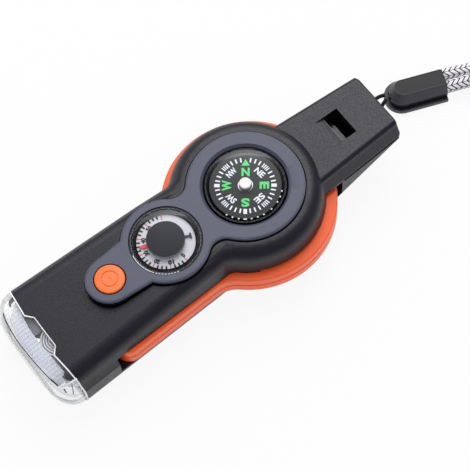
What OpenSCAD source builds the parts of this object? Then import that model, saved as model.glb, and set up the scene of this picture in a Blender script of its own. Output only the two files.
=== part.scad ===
// Pocket survival whistle: lamp at one end, whistle at the other, compass and
// thermometer on the deck, a magnifier leaf and a mirror leaf that swing out of
// a slot between the two cases, and a braided neck cord on a string loop.
// X runs from the lamp to the mouth end, Z is up, and the part lies on its bottom case.

/* [Lengths along the whistle] */
// From the compass centre to the mouth end
mouth_x = 44.3; // [43:0.1:48]
// From the compass centre to the front of the lamp lens
lens_x = 73; // [71.5:0.1:76]
// From the compass centre to the step where the lens meets the cases
lamp_x = 66.7; // [65.8:0.1:67.5]
// From the compass centre to the thermometer centre
thermo_x = 26.1; // [25:0.1:27.5]
// From the compass centre to the lamp button
button_x = 44; // [43:0.1:45]
// From the compass centre to the centre of the leaves' round ends
leaf_cx = 0.5; // [0:0.1:1.4]
// How far the leaves lie off the middle line, towards the near side
leaf_off = 0.45; // [0:0.05:0.6]
// How far the neck lies off the middle line, towards the near side
neck_off = 0.3; // [0:0.05:0.5]
// From the compass centre to the square end of the leaves
leaf_tail_x = 52.7; // [51.5:0.1:52.9]

/* [Heights] */
// Thickness of the bottom case under the leaves
base_t = 4.5; // [4:0.1:5.5]
// Height of the slot that holds both leaves
slot_h = 7; // [6.4:0.1:8]
// Thickness of the plate that closes the top case
closer_t = 1.2; // [1:0.1:1.5]
// Room inside the top case
room_h = 3.3; // [3.1:0.1:4]
// Thickness of the top case's deck under the face plate
deck_t = 1.2; // [1:0.1:1.6]
// Thickness of the face plate
plate_t = 3.3; // [3:0.1:3.8]
// How far the round head's top lies under the face plate's
head_drop = 1; // [0.6:0.1:1.4]
// How far the neck's top lies under the face plate's
neck_drop = 2.7; // [2:0.1:3]
// How far the top has sloped down at the lamp end
lamp_drop = 4; // [3:0.1:4.2]
// Height at which the cases part at the lamp end
lamp_seam_h = 8; // [7:0.1:9]
// Height of the mouth end's lower edge
mouth_low_h = 12; // [11:0.1:12.2]

/* [Widths] */
// Radius of the cases' round head
head_r = 22.1; // [20.5:0.1:22.3]
// Half width of the lamp barrel where it leaves the head
barrel_w0 = 15.4; // [14.6:0.1:15.8]
// Half width of the lamp barrel at its lamp end
barrel_w1 = 17.2; // [16:0.1:17.6]
// Half width of the neck where it leaves the head
neck_w0 = 12.1; // [11.6:0.1:12.8]
// Half width of the neck at the mouth end
neck_w1 = 10.7; // [10.3:0.1:11.4]
// Radius of the barrel's top shoulders
shoulder_r = 4.4; // [3.4:0.1:4.8]
// Radius of the bottom case's lower edges
belly_r = 4; // [3:0.1:4.4]
// Wall of the cases and of the lens
wall = 1.4; // [1.2:0.1:1.6]
// Slope of the side walls, as the width they gain downwards
draft = 1.2; // [0.5:0.1:1.4]

/* [Face plate] */
// Radius of the plate round the compass
plate_compass_r = 15.9; // [15.4:0.1:16.2]
// Radius of the plate round the thermometer
plate_thermo_r = 12; // [11.6:0.1:12.3]
// Radius of the plate round the button
plate_button_r = 6.6; // [6.3:0.1:6.9]
// Radius of the two inner corners between the round parts
plate_fillet_r = 4.5; // [3.5:0.1:5.5]
// Gap all round the plate in its recess
plate_gap = 0.35; // [0.25:0.05:0.45]

/* [Compass] */
// Outer radius of the compass capsule
compass_r = 10.9; // [10.6:0.1:11.1]
// Depth of the card under the face plate's top
card_depth = 0.6; // [0.4:0.1:1]
// Height of the clear dome over the face plate's top
dome_rise = 2; // [1.9:0.1:2.4]
// Radius of the turning card
card_r = 9.6; // [9.3:0.1:9.9]
// Radius of the white centre boss
boss_r = 1.7; // [1.4:0.1:2]

/* [Thermometer] */
// Outer radius of the thermometer housing
thermo_r = 9.7; // [9.5:0.1:9.9]
// Outer radius of the white dial
dial_r = 7.8; // [7.5:0.1:8.1]
// Depth of the dial under the face plate's top
dial_depth = 1.2; // [0.9:0.1:1.4]
// Radius of the dark centre disc
disc_r = 5.1; // [4.8:0.1:5.4]
// Height of the clear cover over the face plate's top
cover_rise = 2; // [1.9:0.1:2.3]

/* [Lamp] */
// Radius of the lamp button
button_r = 4.1; // [3.9:0.1:4.3]
// Travel of the lamp button
button_travel = 0.5; // [0.3:0.1:0.5]
// Height of the lamp's axis
lamp_h = 10; // [9.8:0.1:10.6]
// Radius of the reflector's open end
reflector_r = 4.5; // [4.4:0.1:5]
// Radius of the light emitter
led_r = 2.5; // [2.3:0.1:2.6]
// Gap between the button cells and beside them
cell_gap = 0.7; // [0.5:0.05:0.9]
// Thickness of a button cell
cell_t = 3.6; // [3.4:0.1:3.7]

/* [Leaves] */
// Radius of the leaves' round ends
leaf_r = 23.8; // [23:0.1:24.2]
// Clearance over, under and between the leaves
leaf_gap = 0.15; // [0.12:0.01:0.2]
// Radius of the leaves' corners, round the pin
leaf_corner_r = 4; // [3.6:0.1:4.2]
// Radius of the inner corners between round end and tail
leaf_fillet_r = 8; // [6:0.5:10]
// Radius of the pin that carries both leaves
pin_r = 1.5; // [1.2:0.1:1.8]
// Running clearance of the leaves on their pin
pin_gap = 0.1; // [0.05:0.01:0.15]
// Radius of the magnifier's clear opening
magnifier_r = 15; // [13:0.5:16]
// Radius of the mirror disc
mirror_r = 16.5; // [14:0.5:17.5]

/* [Whistle] */
// Half width of the window and the air slot
window_w = 4.4; // [4.2:0.1:4.8]
// From the compass centre to the window's edge on the mouth side
window_x1 = 33.8; // [33.4:0.1:34.4]
// Length of the window
window_l = 4.7; // [4.4:0.1:4.9]
// Height of the air slot
air_h = 1.3; // [1:0.1:1.6]
// Thickness of the neck's top wall over the air slot
roof_t = 1.2; // [1:0.1:1.4]

/* [Neck cord] */
// Radius of the hole in the string eye
eye_r = 1.2; // [1:0.1:1.4]
// Length of the cord cap's straight part
cap_l = 12.3; // [11:0.1:14]
// Radius of the cord cap's base
cap_r = 4.95; // [4.7:0.05:5.2]
// Height of the cord cap
cap_h = 6.2; // [5.6:0.1:6.8]
// Diameter of the braided neck cord
cord_d = 3.7; // [3.5:0.1:3.8]
// Diameter of the string loop
string_d = 1.1; // [1:0.1:1.2]

/* [Hidden] */
$fn = 96;
eps = 0.01;

// Heights that follow from the stack of layers
slot_top = base_t + slot_h;
room_floor = slot_top + closer_t;
deck_low = room_floor + room_h;
plate_low = deck_low + deck_t;
top_h = plate_low + plate_t;
head_top = top_h - head_drop;
neck_top = top_h - neck_drop;
neck_seam_h = slot_top + 0.75;
shift_x = (lens_x - mouth_x) / 2;

// Points of a quarter arc about c, from angle a0 to a1, in n steps
function arc(c, r, a0, a1, n) =
    [for (i = [0 : n]) let (a = a0 + (a1 - a0) * i / n) c + r * [cos(a), sin(a)]];

// A value that runs in a straight line from a at x0 to b at x1
function between(x, x0, x1, a, b) = a + (b - a) * (x - x0) / (x1 - x0);

// Right half of a case section, from its bottom to its top: round belly, sloped wall, round shoulder
function half_section(w, low, top, belly, shoulder, slope, mid) = concat(
    arc([w - belly, low + belly], belly, -90, 0, 6),
    [[w, max(mid, low + belly + eps)]],
    arc([w - slope - shoulder, top - shoulder], shoulder, 0, 90, 8));

// A whole section at x, as points in space: the right half and its mirror image
function ring(x, half) = concat(
    [for (p = half) [x, p[0], p[1]]],
    [for (i = [len(half) - 1 : -1 : 0]) [x, -half[i][0], half[i][1]]]);

// Skin over rings that have the same number of points. The flat ends are filled
// by strips between the ring's two halves, or by a fan from its first point
module skin(rings, strips = true) {
    n = len(rings[0]);
    m = len(rings);
    polyhedron(
        points = [for (r = rings) for (p = r) p],
        faces = concat(
            strips ? [for (j = [0 : n / 2 - 2]) [j, j + 1, n - 2 - j, n - 1 - j]]
                : [for (j = [1 : n - 2]) [0, j, j + 1]],
            [for (i = [0 : m - 2]) for (j = [0 : n - 1])
                [i * n + j, (i + 1) * n + j, (i + 1) * n + (j + 1) % n, i * n + (j + 1) % n]],
            strips ? [for (j = [0 : n / 2 - 2]) [for (k = [n - 1 - j, n - 2 - j, j + 1, j]) (m - 1) * n + k]]
                : [for (j = [1 : n - 2]) [for (k = [j + 1, j, 0]) (m - 1) * n + k]]),
        convexity = 8);
}

// Lamp barrel: its top slopes down towards the lamp and its walls open a little
slope_x = -thermo_x;
function barrel_top(x) = x > slope_x ? head_top
    : between(x, slope_x, -lamp_x, head_top, top_h - lamp_drop);
function barrel_w(x) = between(x, -20, -60, barrel_w0, barrel_w1);
function barrel_ring(x, inset = 0, drop = 0, lift = 0) = ring(x, half_section(
    barrel_w(x) - inset, lift, barrel_top(x) - drop,
    belly_r, shoulder_r, draft, slot_top - 2.5));

module barrel() {
    skin([for (x = [-lamp_x - 1, slope_x, -8]) barrel_ring(x)]);
}

// Neck: a bill that is thick at the head and thin at the mouth end
neck_x0 = 14;
neck_round = 1.5;
function neck_w(x) = between(x, 20, mouth_x, neck_w0, neck_w1);
function neck_low(x) = between(max(x, 20), 20, mouth_x, 0, mouth_low_h - 0.8);
function neck_belly(x) = between(max(x, 20), 20, mouth_x, 5, 0.45);
function neck_ring(x, inset = 0) = ring(x, half_section(
    neck_w(x) - inset, neck_low(x) + inset, neck_top - inset,
    neck_belly(x), neck_round, 1.5, neck_seam_h + 1));

module neck() {
    translate([0, -neck_off, 0])
        skin([neck_ring(neck_x0), neck_ring(20), neck_ring(mouth_x - 0.6), neck_ring(mouth_x, 0.5)]);
}

// Round head: the same wall and shoulder as the barrel, turned about the compass
module head() {
    side = half_section(head_r, 0, head_top, belly_r, shoulder_r, draft, slot_top - 2.5);
    rotate_extrude() polygon(concat([[0, 0]], side, [[0, head_top]]));
}

// Hollow corners where the barrel leaves the head. Each level of the shared
// profile is drawn in by g, so the hollow's radius grows by g about one centre
corner_r = 4;
corner_bite = 0.08;
corner_cy = barrel_w(-0.78 * head_r) + corner_r - corner_bite;
corner_cx = -sqrt(pow(head_r + corner_r - corner_bite, 2) - corner_cy * corner_cy);
module head_corners() {
    side = half_section(0, 0, head_top, belly_r, shoulder_r, draft, slot_top - 2.5);
    turn = atan2(-corner_cy, -corner_cx);
    last = len(side) - 2;
    for (s = [0, 1]) mirror([0, s, 0]) skin([for (i = [1 : last]) [for (q = concat(
        [[-7, 8], [corner_cx, 8]],
        arc([corner_cx, corner_cy], corner_r - side[i][0], -90, turn, 6))) 
        [q[0], q[1], side[i][1] + (i == 1 ? corner_bite : i == last ? -corner_bite : 0)]]], false);
}

module cases_outside() {
    union() {
        head();
        barrel();
        neck();
        head_corners();
    }
}

// Line where both cases end at the lamp, seen from above, with the notch for the lens's tab
lamp_step = 1.7;
notch_w = 4.8;
notch_flare = 2.1;
module lamp_end_cut(clear = 0) {
    x0 = -lamp_x - clear;
    linear_extrude(top_h * 3, center = true) polygon([
        [x0 + lamp_step, -barrel_w1 - 2], [x0 + 0.7, -barrel_w1 + 2.7],
        [x0, -notch_w - notch_flare], [x0 + lamp_step, -notch_w],
        [x0 + lamp_step, notch_w], [x0, notch_w + notch_flare],
        [x0 + 0.7, barrel_w1 - 2.7], [x0 + lamp_step, barrel_w1 + 2],
        [-lens_x - 20, barrel_w1 + 2], [-lens_x - 20, -barrel_w1 - 2]]);
}

// Pin that carries the leaves, in the far corner of their tails
pin_x = -leaf_tail_x + leaf_corner_r;
function leaf_w(x) = barrel_w(x) - 0.2;
pin_y = leaf_w(pin_x) - leaf_corner_r - leaf_off;
slot_end_x = -leaf_tail_x - 1.4;
sweep_r = norm([leaf_cx - pin_x, pin_y + leaf_off]) + leaf_r + 1.3;

// Slot between the cases, which the leaves' swing has cut round at the neck
module slot(low, high) {
    intersection() {
        translate([slot_end_x, -40, low]) cube([120, 80, high - low]);
        translate([pin_x, pin_y, low]) cylinder(h = high - low, r = sweep_r);
    }
}

// Surface where the two cases part: low at the lamp, the slot in the middle, high at the neck
module above_the_seam() {
    translate([-lens_x - 5, -40, lamp_seam_h]) cube([lens_x + 5 + slot_end_x, 80, 40]);
    translate([slot_end_x, -40, slot_top]) cube([mouth_x, 80, 40]);
    translate([slot_end_x, -40, neck_seam_h]) cube([140, 80, 40]);
}

// Outline of the face plate from above, grown by g
module plate_outline(g = 0) {
    r1 = plate_compass_r + g;
    r2 = plate_thermo_r + g;
    rf = plate_fillet_r - g;
    d1 = plate_compass_r + plate_fillet_r;
    d2 = plate_thermo_r + plate_fillet_r;
    fx = (d2 * d2 - d1 * d1 - thermo_x * thermo_x) / (2 * thermo_x);
    fy = sqrt(d1 * d1 - fx * fx);
    circle(r1);
    translate([-thermo_x, 0]) circle(r2);
    translate([-button_x, 0]) circle(plate_button_r + g);
    flare_x = -thermo_x - plate_thermo_r * 0.75;
    polygon([[-button_x - 0.6, -plate_button_r - g], [-button_x - 0.6, plate_button_r + g],
        [flare_x, plate_button_r + 0.75 + g], [-thermo_x, plate_button_r + 0.75],
        [-thermo_x, -plate_button_r - 0.75], [flare_x, -plate_button_r - 0.75 - g]]);
    difference() {
        polygon([[0, 0], [0, fy * r1 / d1], [fx, fy] * (r1 / d1), [fx, fy],
            [-thermo_x, 0] + [fx + thermo_x, fy] * (r2 / d2), [-thermo_x, 0],
            [-thermo_x, 0] + [fx + thermo_x, -fy] * (r2 / d2), [fx, -fy],
            [fx, -fy] * (r1 / d1), [0, -fy * r1 / d1]]);
        for (s = [-1, 1]) translate([fx, s * fy]) circle(rf);
    }
}

// Screw places: two at the lamp end and two in the neck
screw_r = 0.95;
screw_head_r = 1.8;
screw_head_t = 1.1;
screw_sink = 0.4;
lamp_screw = [-62, barrel_w1 - 5.3];
neck_screw = [window_x1 + 2.6, window_w + 3.2];
screw_l = 6;
screw_places = [for (s = [-1, 1]) each [
    [lamp_screw[0], s * lamp_screw[1], screw_sink],
    [neck_screw[0], s * neck_screw[1] - neck_off, neck_low(neck_screw[0]) + screw_sink]]];
// The lamp screws are longer, because they cross the bottom case's whole height
function screw_len(p) = p[0] < 0 ? lamp_seam_h + 3.5 : screw_l;

// Lamp room: a box behind the lens that crosses both cases
pocket_x0 = -lamp_x + lamp_step + wall;
pocket_x1 = slot_end_x - wall;
pocket_w = barrel_w1 - 3.4;
pocket_low = 1.8;
cell_r = (2 * pocket_w - 4 * cell_gap) / 6;
cell_pitch = 2 * cell_r + cell_gap;
room_top = top_h - lamp_drop - wall;
boss_hole_r = 2.1;

module lamp_room() {
    difference() {
        translate([pocket_x0, -pocket_w, pocket_low])
            cube([pocket_x1 - pocket_x0, 2 * pocket_w, room_top - pocket_low]);
        for (s = [-1, 1]) translate([lamp_screw[0], s * lamp_screw[1], 0])
            cylinder(h = top_h, r = boss_hole_r);
        for (s = [-1, 1]) translate([pocket_x0 - 1, min(s * lamp_screw[1], s * 20), 0])
            cube([lamp_screw[0] + boss_hole_r - pocket_x0 + 1, abs(20 - lamp_screw[1]), top_h]);
    }
}

// Whistle: air slot from the mouth end, window with its blade, and the chamber under both
window_x0 = window_x1 - window_l;
blade_l = 2.9;
chamber_low = room_floor + 0.2;
module whistle_air() translate([0, -neck_off, 0]) {
    air_top = neck_top - roof_t;
    translate([window_x1 - 1, -window_w, air_top - air_h]) cube([mouth_x, 2 * window_w, air_h]);
    translate([window_x0, -window_w, air_top - air_h]) cube([window_l, 2 * window_w, 20]);
    // the ramp that leads down to the blade
    rotate([90, 0, 0]) linear_extrude(2 * window_w, center = true) polygon([
        [window_x0 - blade_l, neck_top], [window_x0 - blade_l, neck_top + 5],
        [window_x0 + eps, neck_top + 5], [window_x0 + eps, neck_top - roof_t * 0.75]]);
    translate([19, -window_w - 1, chamber_low])
        cube([window_x1 - 19, 2 * window_w + 2, air_top - chamber_low - 0.3]);
    hull() {
        translate([window_x0 - 0.6, -window_w, neck_low(window_x0) + 1.3])
            cube([0.1, 2 * window_w, 6]);
        translate([window_x1 - 0.1, -window_w, neck_low(window_x1) + 1.3])
            cube([0.1, 2 * window_w, 6]);
    }
}

module placed() {
    translate([shift_x, 0, 0]) children();
}

// Wells in the deck for the compass, the thermometer and the button
well_gap = 0.15;
button_gap = 0.25;

module top_shell() color([0.2, 0.2, 0.21]) placed() difference() {
    union() {
        difference() {
            intersection() {
                cases_outside();
                above_the_seam();
            }
            lamp_end_cut();
            slot(0, slot_top);
            // recess of the face plate
            translate([0, 0, plate_low]) linear_extrude(20) plate_outline(plate_gap);
            // room inside, over the closing plate
            intersection() {
                translate([0, 0, slot_top - eps]) linear_extrude(room_h + closer_t + eps) closer_outline();
                translate([-lens_x, -40, 0]) cube([200, 80, deck_low]);
            }
            lamp_room();
            translate([0, 0, room_floor]) cylinder(h = 20, r = compass_r + well_gap);
            translate([-thermo_x, 0, room_floor]) cylinder(h = 20, r = thermo_r + well_gap);
            translate([-button_x, 0, room_floor]) cylinder(h = 20, r = button_r + button_gap);
            whistle_air();
            // way for the wires from the switch to the lamp room
            translate([pocket_x1 - 1, -4, room_floor + 0.1]) cube([4, 8, 1.6]);
            // mouth of the lamp room, for the reflector
            translate([-lamp_x - 1, 0, lamp_h]) rotate([0, 90, 0]) cylinder(h = 8, r = reflector_r + 0.4);
        }
        // posts that the lens slips over
        for (s = [-1, 1]) translate([-lamp_x + 0.3, s * lens_post_y, lamp_seam_h])
            cylinder(h = room_top - lamp_seam_h - 0.9, r = lens_post_r);
    }
    pin_bore();
    for (p = screw_places) translate(p) cylinder(h = screw_len(p) + 0.4, r = screw_r - 0.1);
}

lens_post_y = 12.2;
lens_post_r = 1.9;

// Outline of the plate that closes the top case, and of the room over it
module closer_outline(g = 0) {
    r = head_r - draft - 2.2 - g;
    x1 = pocket_x1 + wall + 1.2 + g;
    w = barrel_w0 - 3.2 - g;
    difference() {
        union() {
            circle(r);
            translate([x1, -w]) square([-x1, 2 * w]);
        }
        translate([pin_x, pin_y]) circle(pin_boss_r + g);
    }
}

module closing_plate() color([0.16, 0.16, 0.17]) placed()
    translate([0, 0, slot_top]) linear_extrude(closer_t) closer_outline(0.1);

module pin_bore() {
    translate([pin_x, pin_y, -eps]) cylinder(h = pin_top, r = pin_r);
}
pin_low = 0.6;
pin_boss_r = 3;
pin_top = slot_top + 3.2;

module leaf_pin() color([0.75, 0.75, 0.77]) placed() {
    translate([pin_x, pin_y, pin_low]) cylinder(h = pin_top - pin_low - eps, r = pin_r);
}

module bottom_shell() color([0.2, 0.2, 0.21]) placed() difference() {
    union() {
        difference() {
            cases_outside();
            above_the_seam();
            lamp_end_cut();
            slot(base_t, slot_top + 30);
            lamp_room();
            whistle_air();
            translate([-lamp_x - 1, 0, lamp_h]) rotate([0, 90, 0]) cylinder(h = 8, r = reflector_r + 0.4);
        }
        string_eye();
    }
    translate([pin_x, pin_y, pin_low]) cylinder(h = 20, r = pin_r);
    for (p = screw_places) {
        translate([p[0], p[1], p[2] - 5]) cylinder(h = 5 + screw_head_t, r = screw_head_r + 0.1);
        translate(p) cylinder(h = screw_len(p) + 0.4, r = screw_r + 0.05);
    }
}

// Eye under the mouth end for the string loop
eye_x = mouth_x - 3.9;
eye_h = neck_low(eye_x) - eye_r - 0.9;
eye_t = 2.6;
module string_eye() {
    translate([eye_x, -neck_off, eye_h]) rotate([90, 0, 0]) difference() {
        linear_extrude(eye_t, center = true) {
            circle(eye_r + 1);
            translate([-eye_r - 1, 0]) square([2 * eye_r + 2, neck_low(eye_x + eye_r + 1) + 0.5 - eye_h]);
        }
        cylinder(h = eye_t + 1, r = eye_r, center = true);
    }
}

module shell_screws() color([0.7, 0.7, 0.72]) placed() for (p = screw_places) translate(p) {
    difference() {
        cylinder(h = screw_head_t, r = screw_head_r);
        for (a = [0, 90]) rotate(a) translate([0, 0, 0.2]) cube([2.2, 0.5, 0.7], center = true);
    }
    translate([0, 0, screw_head_t - eps]) cylinder(h = screw_len(p) - screw_head_t, r = screw_r - 0.1);
}

// Face plate with bevelled round openings for the two instruments and the button
plate_round = 0.6;
bezel = 1.1;
module face_plate() color([0.4, 0.41, 0.47]) placed() difference() {
    union() {
        translate([0, 0, plate_low]) linear_extrude(plate_t - plate_round) plate_outline();
        for (i = [1 : 3]) translate([0, 0, plate_low])
            linear_extrude(plate_t - plate_round + plate_round * sin(30 * i))
                plate_outline(-plate_round * (1 - cos(30 * i)));
    }
    translate([0, 0, plate_low - 1]) cylinder(h = 20, r = compass_r + well_gap);
    translate([0, 0, top_h - bezel]) cylinder(h = bezel + eps, r1 = compass_r + well_gap,
        r2 = compass_r + well_gap + bezel);
    translate([-thermo_x, 0, plate_low - 1]) cylinder(h = 20, r = thermo_r + well_gap);
    translate([-button_x, 0, plate_low - 1]) cylinder(h = 20, r = button_r + button_gap);
}

// Compass: cup, pin, card that turns, boss and clear dome
cup_low = room_floor;
card_top = top_h - card_depth;
card_t = 0.8;
card_low = card_top - card_t;
cup_rim = top_h - 0.5;
module compass_cup() color([0.1, 0.1, 0.1]) placed() difference() {
    translate([0, 0, cup_low]) cylinder(h = cup_rim - cup_low, r = compass_r);
    translate([0, 0, cup_low + 1]) cylinder(h = 20, r = card_r + 0.3);
    translate([0, 0, cup_rim - 0.7]) cylinder(h = 0.7 + eps, r1 = card_r + 0.3, r2 = card_r + 0.8);
}

pivot_r = 0.5;
module compass_pivot() color([0.8, 0.75, 0.5]) placed() translate([0, 0, cup_low + 1]) {
    cylinder(h = 0.8, r = 2.4);
    cylinder(h = card_low - cup_low - 1 - 0.9, r = 0.9);
    cylinder(h = card_low - cup_low - 1 + 0.5, r = pivot_r);
}

module compass_card() color([0.27, 0.27, 0.28]) placed() translate([0, 0, card_low]) difference() {
    union() {
        cylinder(h = card_t, r = card_r);
        // bar magnet that is fixed under the card
        rotate(53) translate([-6, -1.2, -0.7]) cube([12, 2.4, 0.7 + eps]);
    }
    translate([0, 0, -1]) cylinder(h = 1.55, r = pivot_r + 0.15);
}

module compass_boss() color([0.94, 0.92, 0.9]) placed() translate([0, 0, card_top]) {
    cylinder(h = 1.3, r = boss_r);
    translate([0, 0, 1.3 - eps]) cylinder(h = 0.5, r1 = boss_r, r2 = boss_r * 0.8);
}

// Clear cover as a shallow dome with an even wall, seated on a rim
module clear_dome(r, low, edge, rise, t) {
    // a ball of this radius passes through the edge and the top
    ball = (r * r + rise * rise) / (2 * rise);
    difference() {
        union() {
            translate([0, 0, low]) cylinder(h = edge - low, r = r);
            intersection() {
                translate([0, 0, edge + rise - ball]) sphere(ball, $fn = 180);
                translate([0, 0, edge]) cylinder(h = rise + 1, r = r);
            }
        }
        intersection() {
            translate([0, 0, edge + rise - ball]) sphere(ball - t, $fn = 180);
            translate([0, 0, low - 1]) cylinder(h = 20, r = r - t);
        }
        translate([0, 0, low - eps]) cylinder(h = edge - low + eps - 0.2, r = r - t);
    }
}

dome_t = 0.45;
module compass_dome() color([0.85, 0.9, 0.95, 0.4]) placed()
    clear_dome(compass_r, cup_rim, top_h - 0.1, dome_rise + 0.1, dome_t);

// Thermometer: cup, dial, bimetal coil, pointer, dark centre disc and cover
dial_top = top_h - dial_depth;
dial_t = 0.6;
dial_low = dial_top - dial_t;
thermo_rim = top_h - 0.4;
module thermometer_cup() color([0.12, 0.12, 0.12]) placed() translate([-thermo_x, 0, 0]) difference() {
    translate([0, 0, cup_low]) cylinder(h = thermo_rim - cup_low, r = thermo_r);
    translate([0, 0, cup_low + 1]) cylinder(h = 20, r = dial_r - 0.6);
    translate([0, 0, dial_low]) cylinder(h = 20, r = dial_r + 0.2);
}

module thermometer_dial() color([0.9, 0.9, 0.92]) placed() translate([-thermo_x, 0, dial_low])
    difference() {
        cylinder(h = dial_t, r = dial_r);
        translate([0, 0, -1]) cylinder(h = 3, r = 1.6);
    }

// Flat strip wound as a spiral, with its outer end fixed in the cup's wall
coil_turns = 3;
coil_r0 = 1.1;
coil_r1 = dial_r - 0.85;
coil_t = 0.4;
coil_h = 1.6;
coil_low = dial_low - 0.5 - coil_h;
function spiral(n, r0, r1, turns, off) = [for (i = [0 : n])
    let (a = 360 * turns * i / n, r = r0 + (r1 - r0) * i / n + off) r * [cos(a), sin(a)]];
module thermometer_coil() color([0.78, 0.6, 0.3]) placed() translate([-thermo_x, 0, coil_low])
    linear_extrude(coil_h) {
        n = 24 * coil_turns;
        inner = spiral(n, coil_r0, coil_r1, coil_turns, -coil_t / 2);
        outer = spiral(n, coil_r0, coil_r1, coil_turns, coil_t / 2);
        polygon(concat(outer, [for (i = [n : -1 : 0]) inner[i]]));
    }

shaft_r = 0.7;
pointer_h = 0.25;
pointer_t = 0.3;
pointer_angle = 157;
module thermometer_pointer() color([0.85, 0.2, 0.15]) placed() translate([-thermo_x, 0, 0]) {
    translate([0, 0, cup_low + 1.05]) cylinder(h = dial_top + disc_clear + disc_hollow - eps - cup_low - 1.05, r = shaft_r);
    translate([0, 0, dial_top + pointer_h]) rotate(pointer_angle) linear_extrude(pointer_t)
        polygon([[-6.9, -0.75], [-6.4, -0.75], [-6.4, -0.22], [-1.5, -0.5],
            [dial_r - 1.6, -0.5], [dial_r - 0.5, 0], [dial_r - 1.6, 0.5],
            [-1.5, 0.5], [-6.4, 0.22], [-6.4, 0.75], [-6.9, 0.75]]);
}

// Dark disc that the same shaft carries over the pointer
disc_rise = cover_rise - 1.15;
disc_clear = 0.9;
disc_hollow = 0.5;
module thermometer_disc() color([0.27, 0.27, 0.27]) placed() translate([-thermo_x, 0, 0]) difference() {
    translate([0, 0, dial_top + disc_clear])
        cylinder(h = top_h + disc_rise - dial_top - disc_clear, r = disc_r);
    translate([0, 0, dial_top]) cylinder(h = disc_clear + disc_hollow, r = disc_r - 0.8);
}

cover_t = 0.4;
module thermometer_window() color([0.85, 0.9, 0.95, 0.4]) placed() translate([-thermo_x, 0, 0])
    clear_dome(thermo_r - 0.5, thermo_rim, top_h, cover_rise, cover_t);

// Lamp button and what it presses
button_top = top_h + 0.4;
flange_t = 0.8;
flange_top = deck_low - 0.15;
module light_button() color([0.96, 0.45, 0.26]) placed() translate([-button_x, 0, 0]) difference() {
    union() {
        translate([0, 0, flange_top - flange_t]) cylinder(h = flange_t, r = button_r + 1);
        translate([0, 0, flange_top - eps]) cylinder(h = button_top - 0.4 - flange_top, r = button_r);
        translate([0, 0, button_top - 0.4 - 2 * eps]) cylinder(h = 0.4, r1 = button_r, r2 = button_r - 0.35);
    }
    // ring groove and the dimple in the middle
    translate([0, 0, button_top - 0.25]) difference() {
        cylinder(h = 1, r = button_r * 0.56);
        translate([0, 0, -1]) cylinder(h = 3, r = button_r * 0.48);
    }
    translate([0, 0, button_top - 0.15]) cylinder(h = 1, r = 0.4);
}

board_t = 0.8;
module switch_board() color([0.1, 0.35, 0.2]) placed()
    translate([-button_x - 7.2, -5.2, room_floor]) cube([12.6, 10.4, board_t]);

switch_h = flange_top - flange_t - button_travel - 0.1 - room_floor - board_t;
module tact_switch() color([0.3, 0.3, 0.3]) placed() translate([-button_x, 0, room_floor + board_t]) {
    translate([-3, -3, 0]) cube([6, 6, switch_h * 0.7]);
    cylinder(h = switch_h, r = 1.7);
}

wire_r = 0.45;
module switch_wires() color([0.8, 0.15, 0.12]) placed() for (s = [-1, 1])
    translate([led_board_x + board_t, s * 1.6, room_floor + board_t + wire_r])
        rotate([0, 90, 0]) cylinder(h = -button_x - 4.5 - led_board_x - board_t, r = wire_r, $fn = 24);

// Light emitter, its board, the reflector and the cells behind them
led_board_x = -lamp_x + lamp_step + wall + 2.4;
led_l = 6.6;
led_board_w = lamp_screw[1] - boss_hole_r - 0.2;
module led_board() color([0.1, 0.35, 0.2]) placed()
    translate([led_board_x, -led_board_w, pocket_low])
        cube([board_t, 2 * led_board_w, room_top - pocket_low - 0.2]);

module led() color([0.95, 0.95, 0.85]) placed() translate([led_board_x, 0, lamp_h]) rotate([0, -90, 0]) {
    cylinder(h = 1, r = led_r + 0.4);
    cylinder(h = led_l - led_r, r = led_r);
    translate([0, 0, led_l - led_r]) sphere(led_r);
}

reflector_x0 = -lamp_x - 3.2;
reflector_l = 5;
module reflector() color([0.85, 0.86, 0.88]) placed()
    translate([reflector_x0, 0, lamp_h]) rotate([0, 90, 0]) rotate_extrude() {
        polygon([[reflector_r, 0], [reflector_r, 0.5], [led_r + 0.8, reflector_l],
            [led_r + 0.1, reflector_l], [led_r + 0.2, reflector_l - 0.6], [reflector_r - 0.5, 0]]);
    }

bezel_x0 = -lamp_x - 1.6;
bezel_w = 9.4;
bezel_low = 4.6;
module reflector_bezel() color([0.5, 0.5, 0.51]) placed() difference() {
    intersection() {
        translate([bezel_x0, -bezel_w, bezel_low])
            cube([-lamp_x + lamp_step - bezel_x0, 2 * bezel_w, room_top - 0.7 - bezel_low]);
        translate([bezel_x0 + 40, 0, 0]) cylinder(h = 30, r = 40);
    }
    lamp_end_minus();
    translate([bezel_x0 - 5, 0, lamp_h]) rotate([0, 90, 0]) cylinder(h = 20, r = reflector_r + 0.1);
}

// Keeps the bezel in front of the cases' ends
module lamp_end_minus() {
    difference() {
        translate([-lamp_x - 5, -30, -1]) cube([20, 60, 60]);
        lamp_end_cut(0.1);
    }
}

// Clear lens cap: the barrel's section, drawn in towards a rounded front
lens_front_top = 0.9;
lens_front_side = 9;
lens_front_low = 4.2;
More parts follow.
